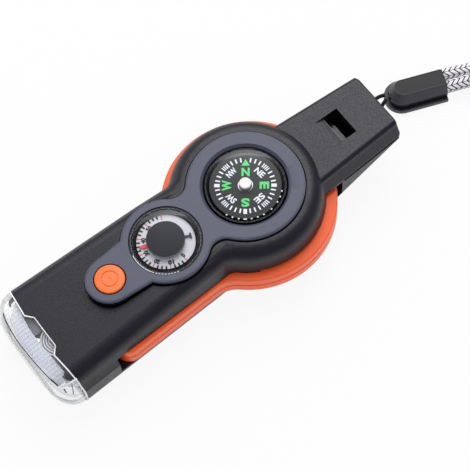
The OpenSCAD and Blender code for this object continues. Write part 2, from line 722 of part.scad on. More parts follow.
// how far the sides, the top and the bottom have drawn in at u, from 0 at the root to 1 at the front
function drawn(u) = 1 - sqrt(1 - min(1, u * u));
function lens_ring(u, t) = let (x = between(u, 0, 1, -lamp_x + 1.2, -lens_x + t)) ring(x, half_section(
    barrel_w(x) - t - lens_front_side * drawn(pow(u, 1.15)),
    t + lens_front_low * drawn(pow(u, 1.2)),
    barrel_top(x) - t - lens_front_top * drawn(pow(u, 3)),
    belly_r, shoulder_r, draft, slot_top - 2.5));
lens_steps = [0, 0.3, 0.5, 0.66, 0.79, 0.89, 0.96, 1];
module front_lens() color([0.88, 0.9, 0.95, 0.45]) placed() difference() {
    intersection() {
        skin([for (i = [len(lens_steps) - 1 : -1 : -1])
            i < 0 ? barrel_ring(-lamp_x + 2) : lens_ring(lens_steps[i], 0)]);
        translate([-0.05, 0, 0]) lamp_end_cut();
    }
    skin([for (i = [len(lens_steps) - 1 : -1 : -1])
        i < 0 ? barrel_ring(-lamp_x + 8, wall, wall, wall) : lens_ring(lens_steps[i], wall)]);
    // the tab over the notch is let in flush, so the ears of the case stay clear of it
    for (s = [-1, 1]) translate([-lamp_x + 0.3, s * lens_post_y, lamp_seam_h])
        cylinder(h = room_top - lamp_seam_h - 0.8, r = lens_post_r + 0.1);
}

module cell(i) color([0.8, 0.8, 0.82]) placed()
    translate([pocket_x1 - 0.35 - cell_t, (i - 2) * cell_pitch, pocket_low + cell_r + 0.3])
        rotate([0, 90, 0]) {
            cylinder(h = cell_t - 0.5, r = cell_r);
            cylinder(h = cell_t, r = cell_r - 0.6);
        }

contact_t = 0.3;
module cell_contacts() color([0.8, 0.78, 0.6]) placed() {
    translate([pocket_x1 - contact_t, -cell_pitch - 2, pocket_low + cell_r - 1.5])
        cube([contact_t, 2 * cell_pitch + 4, 3]);
    for (i = [-1 : 1]) translate([led_board_x + board_t + 0.02, i * cell_pitch, pocket_low + cell_r + 0.3])
        rotate([0, 90, 0]) cylinder(
            h = pocket_x1 - 0.35 - cell_t - led_board_x - board_t - 0.04, r1 = 0.35, r2 = 0.25);
}

// Leaves: a round end over the compass and a square tail, with inner corners rounded
leaf_t = (slot_h - 3 * leaf_gap) / 2;
leaf_low = base_t + leaf_gap;
leaf_high = leaf_low + leaf_t + leaf_gap;
leaf_x1 = -leaf_tail_x + leaf_corner_r;
leaf_w1 = leaf_w(leaf_x1);
leaf_cy = leaf_w(-20) + leaf_fillet_r;
leaf_fx = leaf_cx - sqrt(pow(leaf_r + leaf_fillet_r, 2) - leaf_cy * leaf_cy);
leaf_turn = atan2(leaf_cy, leaf_fx - leaf_cx);
leaf_half = concat(
    arc([leaf_cx, 0], leaf_r, 0, leaf_turn, 36),
    [for (i = [1 : 8]) let (a = leaf_turn - 180 + (90 - leaf_turn) * i / 8)
        [leaf_fx, leaf_cy] + leaf_fillet_r * [cos(a), sin(a)]],
    arc([leaf_x1, leaf_w1 - leaf_corner_r], leaf_corner_r, 90, 180, 8));
module leaf_outline() {
    n = len(leaf_half);
    translate([0, -leaf_off])
        polygon(concat(leaf_half, [for (i = [n - 1 : -1 : 1]) [leaf_half[i][0], -leaf_half[i][1]]]));
}

module leaf(low) difference() {
    translate([0, 0, low]) linear_extrude(leaf_t) leaf_outline();
    translate([pin_x, pin_y, low - 1]) cylinder(h = leaf_t + 2, r = pin_r + pin_gap);
}

seat = 0.7;
lens_edge = 1.4;
module magnifier_leaf() color([0.9, 0.33, 0.2]) placed() difference() {
    leaf(leaf_high);
    translate([leaf_cx, -leaf_off, leaf_high - 1]) cylinder(h = leaf_t + 2, r = magnifier_r);
    translate([leaf_cx, -leaf_off, leaf_high + leaf_t - seat - lens_edge])
        cylinder(h = leaf_t, r = magnifier_r + 1);
}

// Lens with two shallow curves, held by its edge in the leaf's seat
module magnifier_lens() color([0.8, 0.9, 0.95, 0.4]) placed() {
    mid = leaf_high + leaf_t - seat - lens_edge / 2;
    bulge = (leaf_t - 0.5 - lens_edge) / 2;
    r = magnifier_r - 0.2;
    ball = (r * r + bulge * bulge) / (2 * bulge);
    translate([leaf_cx, -leaf_off, mid]) {
        cylinder(h = lens_edge, r = magnifier_r + 0.95, center = true);
        intersection() {
            translate([0, 0, lens_edge / 2 + bulge - seat / 2 - ball]) sphere(ball, $fn = 240);
            cylinder(h = 10, r = r);
        }
        intersection() {
            translate([0, 0, -lens_edge / 2 - bulge + seat / 2 + ball]) sphere(ball, $fn = 240);
            translate([0, 0, -10]) cylinder(h = 10, r = r);
        }
    }
}

mirror_t = 1.2;
module mirror_leaf() color([0.9, 0.33, 0.2]) placed() difference() {
    leaf(leaf_low);
    translate([leaf_cx, -leaf_off, leaf_low + leaf_t - mirror_t - 0.2]) cylinder(h = leaf_t, r = mirror_r + 0.1);
}

module signal_mirror() color([0.8, 0.82, 0.85]) placed()
    translate([leaf_cx, -leaf_off, leaf_low + leaf_t - mirror_t - 0.2]) cylinder(h = mirror_t, r = mirror_r);

// Neck cord: points that a tube follows, chosen by hand, and the tube round them
function unit(v) = v / norm(v);
function turned(v) = unit(cross(v, abs(v[2]) > 0.9 * norm(v) ? [1, 0, 0] : [0, 0, 1]));
module tube(path, r, sides = 8) {
    n = len(path);
    rings = [for (i = [0 : n - 1])
        let (a = path[max(0, i - 1)], b = path[min(n - 1, i + 1)],
            along = i == 0 ? path[1] - path[0] : i == n - 1 ? path[n - 1] - path[n - 2] : b - a,
            side = turned(along), up = unit(cross(along, side)))
        [for (k = [0 : sides - 1]) let (t = 360 * k / sides)
            path[i] + r * (cos(t) * side + sin(t) * up)]];
    skin(rings);
}

// Smooth curve through hand-chosen points: m steps of a Catmull-Rom span between each pair
function span(p0, p1, p2, p3, t) = 0.5 * (2 * p1 + (p2 - p0) * t
    + (2 * p0 - 5 * p1 + 4 * p2 - p3) * t * t + (3 * p1 - p0 - 3 * p2 + p3) * t * t * t);
function curve(p, m) = let (n = len(p) - 1) concat(
    [for (i = [0 : n - 1]) for (k = [0 : m - 1])
        span(p[max(0, i - 1)], p[i], p[i + 1], p[min(n, i + 2)], k / m)],
    [p[n]]);

// The cap lies on the table beside the mouth end; its flat end faces the cord
cap_at = [67.7, -1.85];
cap_turn = 159;
base_flange = 1.3;
module at_cap() {
    translate([cap_at[0], cap_at[1], 0]) rotate(cap_turn) children();
}
// Stadium that is round at the string's end and flat at the cord's end
module stadium(r, l) {
    translate([0, -r]) square([l, 2 * r]);
    translate([l, 0]) circle(r);
}
cap_in = 1.1;
cap_half = cord_d / 2 + base_flange;
module cap_base() color([0.24, 0.24, 0.25]) placed() at_cap() difference() {
    union() {
        linear_extrude(base_flange) stadium(cap_r, cap_l);
        linear_extrude(cap_half) stadium(cap_r - cap_in, cap_l);
    }
    cap_holes();
}
module cap_cover() color([0.3, 0.3, 0.31]) placed() at_cap() difference() {
    hull() {
        translate([0, 0, cap_half]) linear_extrude(0.3) stadium(cap_r - cap_in, cap_l, $fn = 32);
        translate([0, 0, cap_h - 0.5]) linear_extrude(0.5) stadium(2.3, cap_l - 0.2, $fn = 32);
    }
    cap_holes();
}
cord_z = cord_d / 2;
cord_side = cord_d / 2 + 0.03;
cap_cord_z = cap_half;
grip_l = 6;
module cap_holes() {
    for (s = [-1, 1]) translate([-1, s * cord_side, cap_cord_z]) rotate([0, 90, 0])
        cylinder(h = grip_l + 1, r = cord_d / 2, $fn = 48);
    for (s = [-1, 1]) translate([cap_l, s * 0.75, cap_cord_z]) rotate([0, 90, 0])
        cylinder(h = 12, r = string_d / 2 + 0.05, $fn = 24);
}

// Each lead leaves the cap, sinks to the table and swings out to the coil
lead_plan = [[0, 0], [4, 0], [8, 0], [11.5, 0.6], [15, 3.2], [18.5, 7.8], [22, 13], [25.9, 17.9]];
lead_low = [3.15, 2.95, 2.4, 2, 1.85, 1.85, 1.85, 1.85];
lead_high = [3.15, 3.15, 3.15, 3.4, 3.9, 4.5, 5.1, 5.5];
function lead(s, heights) = [for (i = [0 : len(lead_plan) - 1])
    [-lead_plan[i][0], s * (lead_plan[i][1] + cord_side), heights[i]]];
module cord_lead_a() color([0.75, 0.75, 0.76]) placed() at_cap() tube(curve(lead(-1, lead_low), 3), cord_d / 2);
module cord_lead_b() color([0.75, 0.75, 0.76]) placed() at_cap() tube(curve(lead(1, lead_high), 3), cord_d / 2);

// Outer shape of the coil that the cord is put away in, past the leads
coil_at = -43;
coil_mid_r = 20.9;
coil_half_w = 7.15;
coil_height = 7.4;
coil_open = 51;
coil_open_r = 23.6;
module cord_coil() color([0.75, 0.75, 0.76]) placed() at_cap() translate([coil_at, 0, 0]) difference() {
    rotate_extrude() translate([coil_mid_r - coil_half_w, 0]) {
        translate([1.5, 0]) square([2 * coil_half_w - 3, coil_height]);
        translate([0, 1.5]) square([2 * coil_half_w, coil_height - 3]);
        for (x = [1.5, 2 * coil_half_w - 1.5]) for (y = [1.5, coil_height - 1.5])
            translate([x, y]) circle(1.5, $fn = 24);
    }
    // the side that faces the cap is one turn slimmer, where the leads run in
    translate([0, 0, -1]) linear_extrude(coil_height + 2) difference() {
        polygon([[0, 0], 60 * [cos(coil_open), -sin(coil_open)], [70, 0], 60 * [cos(coil_open), sin(coil_open)]]);
        circle(coil_open_r);
    }
}

// String from the cap through the eye and back, chosen by hand
string_points = [[52, 5, 3.15], [50.2, 5.8, 2.5], [47.6, 5.7, 1.9], [45, 4.7, 2.6],
    [42.9, 3.6, 4.4], [41.4, 2.6, 6.4], [40.5, 1.5, 7.3], [40.4, 0, 7.3], [40.5, -1.5, 7.3],
    [41.2, -2.3, 6.4], [42.9, -1.9, 4.2], [45, -0.2, 2.2], [47.4, 2, 1.3], [49.7, 3.3, 1.6],
    [51.4, 3.6, 3.15]];
module string_loop() color([0.08, 0.08, 0.08]) placed() tube(curve(string_points, 4), string_d / 2);

top_shell();
closing_plate();
bottom_shell();
face_plate();
compass_cup();
compass_pivot();
compass_card();
compass_boss();
compass_dome();
thermometer_cup();
thermometer_dial();
thermometer_coil();
thermometer_pointer();
thermometer_disc();
thermometer_window();
light_button();
switch_board();
tact_switch();
switch_wires();
led_board();
led();
reflector();
reflector_bezel();
front_lens();
cell(1);  // cell_1
cell(2);  // cell_2
cell(3);  // cell_3
cell_contacts();
magnifier_leaf();
magnifier_lens();
mirror_leaf();
signal_mirror();
leaf_pin();
shell_screws();
string_loop();
cap_base();
cap_cover();
cord_lead_a();
cord_lead_b();
cord_coil();
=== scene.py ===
# %% [markdown]
# # A survival whistle, dressed for its picture
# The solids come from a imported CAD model. This script gives them their real
# surfaces: smooth moulded plastic, printed dials, clear covers, a braided cord.
# It is a lesson in steps. Before each step a note says what the piece is on the
# real whistle, how it could be made, and why it was made this way.
# Lengths in the notes are millimetres, and angles are degrees.

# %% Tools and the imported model
import math
import bmesh
import bpy
import numpy as np
from mathutils import Matrix, Vector


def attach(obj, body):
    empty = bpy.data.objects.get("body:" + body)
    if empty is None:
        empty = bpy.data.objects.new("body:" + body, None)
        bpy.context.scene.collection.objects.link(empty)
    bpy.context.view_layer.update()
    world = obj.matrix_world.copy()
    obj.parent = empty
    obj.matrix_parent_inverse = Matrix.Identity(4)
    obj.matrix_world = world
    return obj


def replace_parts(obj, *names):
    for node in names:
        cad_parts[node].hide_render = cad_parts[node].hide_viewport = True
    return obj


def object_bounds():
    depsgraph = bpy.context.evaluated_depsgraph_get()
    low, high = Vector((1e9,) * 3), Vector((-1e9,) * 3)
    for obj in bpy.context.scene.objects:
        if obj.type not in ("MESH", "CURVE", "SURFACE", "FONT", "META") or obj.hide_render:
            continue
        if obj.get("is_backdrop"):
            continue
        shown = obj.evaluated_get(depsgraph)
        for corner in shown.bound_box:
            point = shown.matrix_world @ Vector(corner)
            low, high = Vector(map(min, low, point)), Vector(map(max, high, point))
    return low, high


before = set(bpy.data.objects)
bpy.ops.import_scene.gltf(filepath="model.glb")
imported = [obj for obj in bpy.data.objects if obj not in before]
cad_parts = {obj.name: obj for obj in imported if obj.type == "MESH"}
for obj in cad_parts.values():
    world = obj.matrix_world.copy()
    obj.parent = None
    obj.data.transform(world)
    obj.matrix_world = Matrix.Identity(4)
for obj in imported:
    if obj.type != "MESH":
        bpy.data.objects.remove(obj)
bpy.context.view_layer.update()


def box_as_lists():
    """The whole object's box as two plain lists, low corner and high corner."""
    low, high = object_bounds()
    return [[float(v) for v in low], [float(v) for v in high]]


# %% [markdown]
# ## From millimetres at the compass to the scene
# The whistle is laid out from the compass in its head, so a point here is
# (x, y, h): x along the whistle, y across it, h its height over the floor. One
# could move each finished object into place, but the export puts every object at
# the origin. So the place goes into the mesh, and every length passes through
# `row`, which works on single numbers and on whole arrays.

# %% Places in the scene
SHIFT = 14.35         # from the compass centre to the middle of the whistle
COMPASS = (0.0, 0.0)
DIAL = (-26.1, 0.0)   # the thermometer's centre
PLATE_TOP = 20.5      # height of the face plate's top


def row(x, y, h):
    """p = ((x + SHIFT), y, h) / 1000, in metres."""
    return np.stack(np.broadcast_arrays(np.asarray(x, float) + SHIFT, y, h), -1) / 1000.0


def lay(points):
    """The same for an (n, 3) array of millimetre points."""
    p = np.asarray(points, float)
    return row(p[..., 0], p[..., 1], p[..., 2])


print("the compass centre lies at", row(*COMPASS, 0.0))

# %% [markdown]
# ## The camera
# The picture is taken from high above and a little from the near left. Lens and
# place were solved from it: circles on the face plate and the straight edges of
# the case give the direction, and the size of the compass gives the distance. A
# Track To constraint would lose the camera's roll, so its matrix is written out.
# A camera looks along its own -Z, with +Y up in the picture.

# %% The camera
PHOTO_PX = 470.0      # width of the photograph
FOCAL_PX = 1700.0     # focal length in the photograph's pixels
SENSOR = 36.0
EYE = (-103.91, -162.12, PLATE_TOP + 405.95)

scene = bpy.context.scene
camera = bpy.data.objects.new("camera", bpy.data.cameras.new("camera"))
scene.collection.objects.link(camera)
camera.data.sensor_width = SENSOR
camera.data.lens = SENSOR * FOCAL_PX / PHOTO_PX
camera.data.clip_start = 0.01
camera.data.clip_end = 20.0
right = Vector((0.79907, -0.59978, -0.04175))
up = Vector((0.56346, 0.72285, 0.40000))
back = Vector((-0.20974, -0.34316, 0.91556))
camera.matrix_world = Matrix((right, up, back)).transposed().to_4x4()
camera.matrix_world.translation = Vector(row(*EYE))
scene.camera = camera
print("camera", round(camera.data.lens, 1), "mm lens at", row(*EYE).round(3))

# %% [markdown]
# ## Surfaces from grids of points
# Almost every new piece is a grid: rows of points, with neighbours joined by
# four-sided faces. Modelling by hand would work too, but a formula can be read
# and changed. Numpy works out the whole grid at once, and `from_pydata` hands it
# to Blender. In the UV map, u and v count along the two directions.

# %% Grids
def link(name, mesh, body, material):
    """Puts a mesh in the scene, lets it ride on a CAD body and gives it a finish."""
    piece = bpy.data.objects.new(name, mesh)
    scene.collection.objects.link(piece)
    mesh.materials.append(material)
    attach(piece, body)
    return piece


def grid_mesh(name, points, closed=False, capped=False, uv=None):
    """Joins points[i][j] to its neighbours: i runs along v, j runs along u.

    closed joins each row's end to its start, capped fills the first and the last
    row with one face each, and uv gives the steps of u and v from point to point."""
    p = np.asarray(points, float)
    n, m = p.shape[:2]
    i = np.arange(n - 1)[:, None]
    j = np.arange(m if closed else m - 1)[None, :]
    k = (j + 1) % m
    faces = np.stack([i * m + j, i * m + k, (i + 1) * m + k, (i + 1) * m + j], -1).reshape(-1, 4).tolist()
    if capped:
        faces += [list(range(m))[::-1], list(range((n - 1) * m, n * m))]
    mesh = bpy.data.meshes.new(name)
    mesh.from_pydata(p.reshape(-1, 3).tolist(), [], faces)
    mesh.shade_smooth()
    if uv:
        u = np.stack([j, j + 1, j + 1, j], -1) * uv[0]
        v = np.stack([i, i, i + 1, i + 1], -1) * uv[1]
        corners = np.stack(np.broadcast_arrays(u, v), -1).reshape(-1, 2)
        every = np.zeros((len(mesh.loops), 2))
        every[:len(corners)] = corners
        mesh.uv_layers.new(name="UVMap").data.foreach_set("uv", every.ravel())
    mesh.validate()
    return mesh


def outward(mesh, merge=0.0):
    """Merges corners closer than `merge` metres and turns all faces outwards."""
    work = bmesh.new()
    work.from_mesh(mesh)
    if merge:
        bmesh.ops.remove_doubles(work, verts=work.verts, dist=merge)
    bmesh.ops.recalc_face_normals(work, faces=work.faces)
    work.to_mesh(mesh)
    work.free()
    return mesh


def crisp(mesh, angle=32):
    """Smooth shading that stays sharp where two faces meet at more than `angle`."""
    mesh.shade_smooth()
    mesh.set_sharp_from_angle(angle=math.radians(angle))
    return mesh


# %% [markdown]
# ## Turned pieces
# Domes, rims and the compass boss are round, as if turned on a lathe. The Screw
# modifier could turn a profile, but its axis is the object's own, and these
# pieces stand beside the origin. So the profile is turned as an array.

# %% Turned pieces
def lathe(name, profile, centre, steps=96, angle=32):
    """Turns a profile of (r, h) about a vertical axis through centre = (x, y):

    p(t, k) = (x + r_k cos t, y + r_k sin t, h_k), with t over one full turn."""
    r, h = np.asarray(profile, float).T
    t = np.linspace(0, 2 * math.pi, steps, endpoint=False)[None, :]
    pts = row(centre[0] + r[:, None] * np.cos(t), centre[1] + r[:, None] * np.sin(t), h[:, None])
    return crisp(outward(grid_mesh(name, pts, closed=True), merge=1e-7), angle)


def bow(c, r, a0, a1, n=6):
    """Profile points on a piece of a circle: c + r (cos a, sin a), a from a0 to a1."""
    a = np.radians(np.linspace(a0, a1, n))
    return [(c[0] + r * math.cos(x), c[1] + r * math.sin(x)) for x in a]


# %% [markdown]
# ## Round lines along a path
# Cords, seams and raised lines are tubes. A curve object with a bevel draws a
# tube in a moment, but its UV map runs from 0 to 1 whatever the length is. Here a
# circle is carried along the path, v counts the length, and the circle turns as
# little as possible, so that a braid doesn't twist by itself.

# %% Tubes
def sides_along(path):
    """Two side vectors at each point of a path, turned as little as possible.

    Each step mirrors the last side vector twice: across the middle of the step,
    and then so that the mirrored direction becomes the next one."""
    p = np.asarray(path, float)
    t = np.gradient(p, axis=0)
    t /= np.linalg.norm(t, axis=1)[:, None]
    side = np.zeros_like(p)
    first = np.cross(t[0], [0, 0, 1.0])
    side[0] = first / np.linalg.norm(first)
    for k in range(len(p) - 1):
        step = p[k + 1] - p[k]
        half_side = side[k] - (2 / (step @ step)) * (step @ side[k]) * step
        half_t = t[k] - (2 / (step @ step)) * (step @ t[k]) * step
        turn = t[k + 1] - half_t
        side[k + 1] = half_side - (2 / max(turn @ turn, 1e-18)) * (turn @ half_side) * turn
    return side, np.cross(t, side)


def tube(name, path, radius, sides=10):
    """Sweeps a circle along a path: p(k, t) = path_k + R (side_k cos t + up_k sin t).

    Path and radius are in metres. u is 0..1 round the tube, and v is the length
    along it in turns round the tube."""
    p = np.asarray(path, float)
    side, high = sides_along(p)
    t = np.linspace(0, 2 * math.pi, sides, endpoint=False)
    ring = np.cos(t)[None, :, None] * side[:, None, :] + np.sin(t)[None, :, None] * high[:, None, :]
    step = np.linalg.norm(np.diff(p, axis=0), axis=1).mean()
    return grid_mesh(name, p[:, None, :] + radius * ring, closed=True, capped=True,
                     uv=(1.0 / sides, step / (2 * math.pi * radius)))


def smooth_line(points, spacing):
    """A Catmull-Rom curve through the points, walked again at an even spacing."""
    p = np.asarray(points, float)
    q = np.vstack([2 * p[0] - p[1], p, 2 * p[-1] - p[-2]])
    t = np.linspace(0, 1, 24, endpoint=False)[:, None]
    dense = [0.5 * (2 * b + (c - a) * t + (2 * a - 5 * b + 4 * c - d) * t ** 2
                    + (3 * b - a - 3 * c + d) * t ** 3)
             for a, b, c, d in zip(q[:-3], q[1:-2], q[2:-1], q[3:])]
    dense = np.vstack(dense + [p[-1:]])
    s = np.concatenate([[0], np.cumsum(np.linalg.norm(np.diff(dense, axis=0), axis=1))])
    even = np.linspace(0, s[-1], max(3, int(round(s[-1] / spacing)) + 1))
    return np.stack([np.interp(even, s, dense[:, k]) for k in range(3)], -1)


def length_of(path):
    """Sum of the straight steps along a path."""
    return float(np.linalg.norm(np.diff(path, axis=0), axis=1).sum())


def seam(name, points, radius, material):
    """A thin round line through points in millimetres, on the whistle's body."""
    mesh = tube(name, lay(smooth_line(points, 0.3)), radius / 1000)
    return link(name, mesh, "whistle", material)


# %% [markdown]
# ## Materials from small expressions
# A shader is a graph of nodes, which is slow to write out and hard to read back.
# `Value` wraps one output socket, so that `1 - mask * 0.5` adds the two Math
# nodes by itself.

# %% Numbers on a surface
class Value:
    """A number that a material works out at each point of a surface."""

    def __init__(self, graph, socket):
        self.graph, self.socket = graph, socket

    def _math(self, operation, a, b=0.0):
        return self.graph.node("ShaderNodeMath", {"operation": operation}, {0: a, 1: b})

    def __add__(self, other):
        return self._math("ADD", self, other)

    def __sub__(self, other):
        return self._math("SUBTRACT", self, other)

    def __rsub__(self, other):
        return self._math("SUBTRACT", other, self)

    def __mul__(self, other):
        return self._math("MULTIPLY", self, other)

    __radd__ = __add__
    __rmul__ = __mul__

    def whole(self):
        return self._math("FLOOR", self)

    def part(self):
        return self._math("FRACT", self)

    def size(self):
        return self._math("ABSOLUTE", self)

    def least(self, other):
        return self._math("MINIMUM", self, other)

    def most(self, other):
        return self._math("MAXIMUM", self, other)

    def above(self, other):
        return self._math("GREATER_THAN", self, other)

    def ramp(self, low, high):
        """Runs smoothly from 0 at `low` to 1 at `high`."""
        return self.graph.node("ShaderNodeMapRange", {"interpolation_type": "SMOOTHSTEP"},
                               {0: self, 1: low, 2: high})


# %% [markdown]
# `Graph` adds nodes of any other kind to a tree, and `Finish` is the graph of a
# new material, with its Principled shader. Patterns read the object's own
# coordinates, because every piece has its place in its mesh: a grain then has
# the same size everywhere. Where a pattern follows the surface, as on a cord, it
# reads the UV map.

# %% Graphs and finishes
class Graph:
    """The node tree of a material or of the world, and the means to feed it."""

    def __init__(self, tree):
        self.tree = tree

    def feed(self, socket, value):
        """Links a Value to a socket, or writes a plain number or colour on it."""
        if isinstance(value, Value):
            self.tree.links.new(value.socket, socket)
        elif isinstance(value, (tuple, list)) and len(value) == 3 and len(socket.default_value) == 4:
            socket.default_value = (*value, 1.0)
        else:
            socket.default_value = value

    def node(self, kind, settings=None, inputs=None, out=0):
        """Adds any node: first its settings, then its sockets, and returns one output."""
        n = self.tree.nodes.new(kind)
        for key, value in (settings or {}).items():
            setattr(n, key, value)
        for key, value in (inputs or {}).items():
            self.feed(n.inputs[key], value)
        return Value(self, n.outputs[out]) if n.outputs else None

    def mix(self, mask, first, second):
        """The first shader where mask is 0, and the second where it is 1."""
        return self.node("ShaderNodeMixShader", {}, {0: mask, 1: first, 2: second})


class Finish(Graph):
    """A new material. Constants are named as the Principled shader's sockets."""

    def __init__(self, name, **constants):
        self.material = bpy.data.materials.new(name)
        self.material.use_nodes = True
        super().__init__(self.material.node_tree)
        self.shader = self.tree.nodes["Principled BSDF"]
        self.set(**constants)

    def set(self, **values):
        """Feeds sockets of the Principled shader by name: Base_Color, Roughness and so on."""
        for key, value in values.items():
            self.feed(self.shader.inputs[key.replace("_", " ")], value)

    def principled(self):
        """The Principled shader, to be mixed with another one."""
        return Value(self, self.shader.outputs[0])

    def show(self, shader):
        """Sends a shader to the material's output."""
        self.feed(self.tree.nodes["Material Output"].inputs["Surface"], shader)

    def place(self, what="Object"):
        """Where the point is: the object's own coordinates, in metres, or its UV."""
        return self.node("ShaderNodeTexCoord", out=what)

    def axes(self, vector):
        """The three numbers of a vector."""
        n = self.tree.nodes.new("ShaderNodeSeparateXYZ")
        self.feed(n.inputs[0], vector)
        return [Value(self, o) for o in n.outputs]

    def noise(self, scale, detail=2.0, rough=0.5):
        """Cloudy noise in the object's space; scale counts per metre."""
        return self.node("ShaderNodeTexNoise", {}, {
            "Vector": self.place(), "Scale": scale, "Detail": detail, "Roughness": rough})

    def blend(self, mask, a, b):
        """Colour a where mask is 0, and colour b where it is 1."""
        n = self.tree.nodes.new("ShaderNodeMix")
        n.data_type = "RGBA"
        factor, first, second = 0, 6, 7     # the colour sockets follow those of numbers and vectors
        self.feed(n.inputs[factor], mask)
        self.feed(n.inputs[first], a)
        self.feed(n.inputs[second], b)
        return Value(self, n.outputs[2])

    def bump(self, height, depth, strength=1.0):
        """Raises the surface by height times depth metres, for the light only."""
        inputs = {"Strength": strength, "Distance": depth, "Height": height}
        self.set(Normal=self.node("ShaderNodeBump", {}, inputs))


def srgb(r, g, b):
    """Linear colour from 0..255 screen values: c = ((v + 0.055) / 1.055) ^ 2.4."""
    return tuple(((v / 255 + 0.055) / 1.055) ** 2.4 if v > 10 else v / 255 / 12.92 for v in (r, g, b))


# %% [markdown]
# ## Moulded plastic
# The case comes from a spark-eroded mould: a fine grain, and slight patches
# where the sheen changes. An image of such a grain would show its seams and its
# pixels, so two noises make it: a coarse one for colour and sheen, a fine one
# for the bump. Under the whistle's window the walls get painted shade: a near
# black colour and a smoother surface.

# %% Moulded plastic
SHADE_BOX = (31.05, -0.3)     # middle of the box under the whistle's window
SHADE_BOX_HALF = (2.9, 4.7)   # half its length and half its width, to just behind the walls
SHADE_BOX_TOP = 16.8          # the painted shade reaches up to this height


def painted_shade_under_window(g):
    """1 inside the box under the whistle's window, where shade is painted, and 0 elsewhere."""
    x, y, z = g.axes(g.place())
    along = (x - (SHIFT + SHADE_BOX[0]) / 1000).size().above(SHADE_BOX_HALF[0] / 1000)
    across = (y - SHADE_BOX[1] / 1000).size().above(SHADE_BOX_HALF[1] / 1000)
    return (1.0 - along) * (1.0 - across) * (1.0 - z.above(SHADE_BOX_TOP / 1000))


def moulded(name, colour, roughness, grain=2600, depth=6e-6, mottle=0.12, spec=0.5, below=None,
            painted_pit_shade=False, fleck=0.0):
    """Moulded plastic: an even colour, a fine grain and slight gloss patches.

    grain counts per metre and depth is in metres. below = (h, colour) gives
    everything lower than h another colour, which on some pieces is painted light or
    painted shade. painted_pit_shade paints shade under the whistle's window: a near
    black colour and a smoother surface. fleck makes the grain show in the sheen."""
    g = Finish(name, IOR=1.5, Specular_IOR_Level=spec)
    cloud = g.noise(160, 3)
    dark = tuple(c * (1 - mottle) for c in colour)
    light = tuple(min(1, c * (1 + mottle)) for c in colour)
    paint = g.blend(cloud, dark, light)
    if below:
        edge, low_colour = below
        height = g.axes(g.place())[2] * 1000
        paint = g.blend(height.ramp(edge - 0.03, edge + 0.03), low_colour, paint)
    fine = g.noise(grain, 2, 0.6)
    rough = cloud * 0.10 + fine * fleck + (roughness - 0.05 - fleck / 2)
    # Painted shade under the whistle's window: a near black colour and a smoother surface.
    if painted_pit_shade:
        inside = painted_shade_under_window(g)
        paint = g.blend(inside, paint, srgb(14, 14, 16))
        rough = rough * (1.0 - inside * 0.6)
    g.set(Base_Color=paint, Roughness=rough)
    g.bump(fine, depth)
    return g.material


# %% [markdown]
# Colours are written as screen values. Five pieces take a second colour below
# one height, which needs no second piece. The cap's slopes are painted lighter
# than its level top, which is painted light. The button's foot is painted shade.
# The face plate is near black below its top edge. The dark disc's rim is a light
# grey, painted light on a side that gets little of it. The cream boss is grey
# below its top.

# %% Plastics of the whistle
CAP_TOP = 6.2       # height of the cap's level top
BOSS_TOP = 21.7     # height of the compass boss
# The case gets painted shade under the whistle's window.
case_black = moulded("case_black", srgb(29, 28, 39), 0.42, grain=2200, depth=2.5e-5, mottle=0.15,
                     painted_pit_shade=True, fleck=0.5)
# The cap's lighter slopes are painted light.
cap_black = moulded("cap_black", srgb(28, 27, 30), 0.42, grain=2600, depth=1.5e-5, mottle=0.1, spec=0.32,
                    below=(CAP_TOP - 0.08, srgb(70, 69, 73)))
plate_grey = moulded("plate_grey", srgb(73, 76, 95), 0.42, grain=2600, depth=1.2e-5, mottle=0.05, fleck=0.2,
                     below=(PLATE_TOP - 0.7, srgb(12, 12, 15)))
leaf_orange = moulded("leaf_orange", srgb(250, 97, 38), 0.34, grain=1400, depth=3e-6, mottle=0.04, spec=0.3)
# The button's darker foot is painted shade.
button_orange = moulded("button_orange", srgb(244, 119, 57), 0.34, grain=1800, depth=3e-6, mottle=0.05,
                        spec=0.3, below=(PLATE_TOP + 0.12, srgb(150, 46, 22)))
housing_black = moulded("housing_black", srgb(14, 14, 15), 0.14, grain=900, depth=1e-6, mottle=0.1, spec=0.2)
card_grey = moulded("card_grey", srgb(63, 64, 62), 0.5, grain=4200, depth=3e-7, mottle=0.08, spec=0.15)
# The disc's light grey rim is painted light.
disc_grey = moulded("disc_grey", srgb(49, 49, 51), 0.55, grain=3600, depth=6e-6, mottle=0.06, spec=0.15,
                    below=(PLATE_TOP + 0.8, srgb(146, 146, 150)))
boss_cream = moulded("boss_cream", srgb(248, 242, 234), 0.6, grain=1600, depth=1e-6, mottle=0.03, spec=0.2,
                     below=(BOSS_TOP - 0.48, srgb(128, 124, 119)))
dial_white = moulded("dial_white", srgb(214, 213, 212), 0.4, grain=3000, depth=1e-6, mottle=0.02)
holder_grey = moulded("holder_grey", srgb(118, 118, 124), 0.45, grain=2200, depth=3e-6, mottle=0.05)
board_green = moulded("board_green", srgb(36, 92, 56), 0.3, grain=1500, depth=3e-6)
wire_red = moulded("wire_red", srgb(190, 36, 34), 0.4, grain=1500, depth=2e-6)
print("plastics:", len(bpy.data.materials))


# %% [markdown]
# ## Inks and thin lines
# The printing on both dials is matt ink. The thin lines in the front lens and
# on the cap are painted highlights and painted shade: they are coloured lighter
# or darker to stand for edges of plastic that catch more or less light than what
# is beside them. Both are the plastic above with a very flat grain.

# %% Inks and thin lines
def ink(name, colour, mottle=0.05):
    """Matt printing ink."""
    return moulded(name, colour, 0.5, grain=5000, depth=2e-6, mottle=mottle)


def edge_tone(name, colour, roughness=0.4, mottle=0.12):
    """The plain colour of a thin line or of a small surface in the lens; on the lines it is a painted
    highlight or painted shade.
    """
    return moulded(name, colour, roughness, grain=900, depth=1e-6, mottle=mottle)


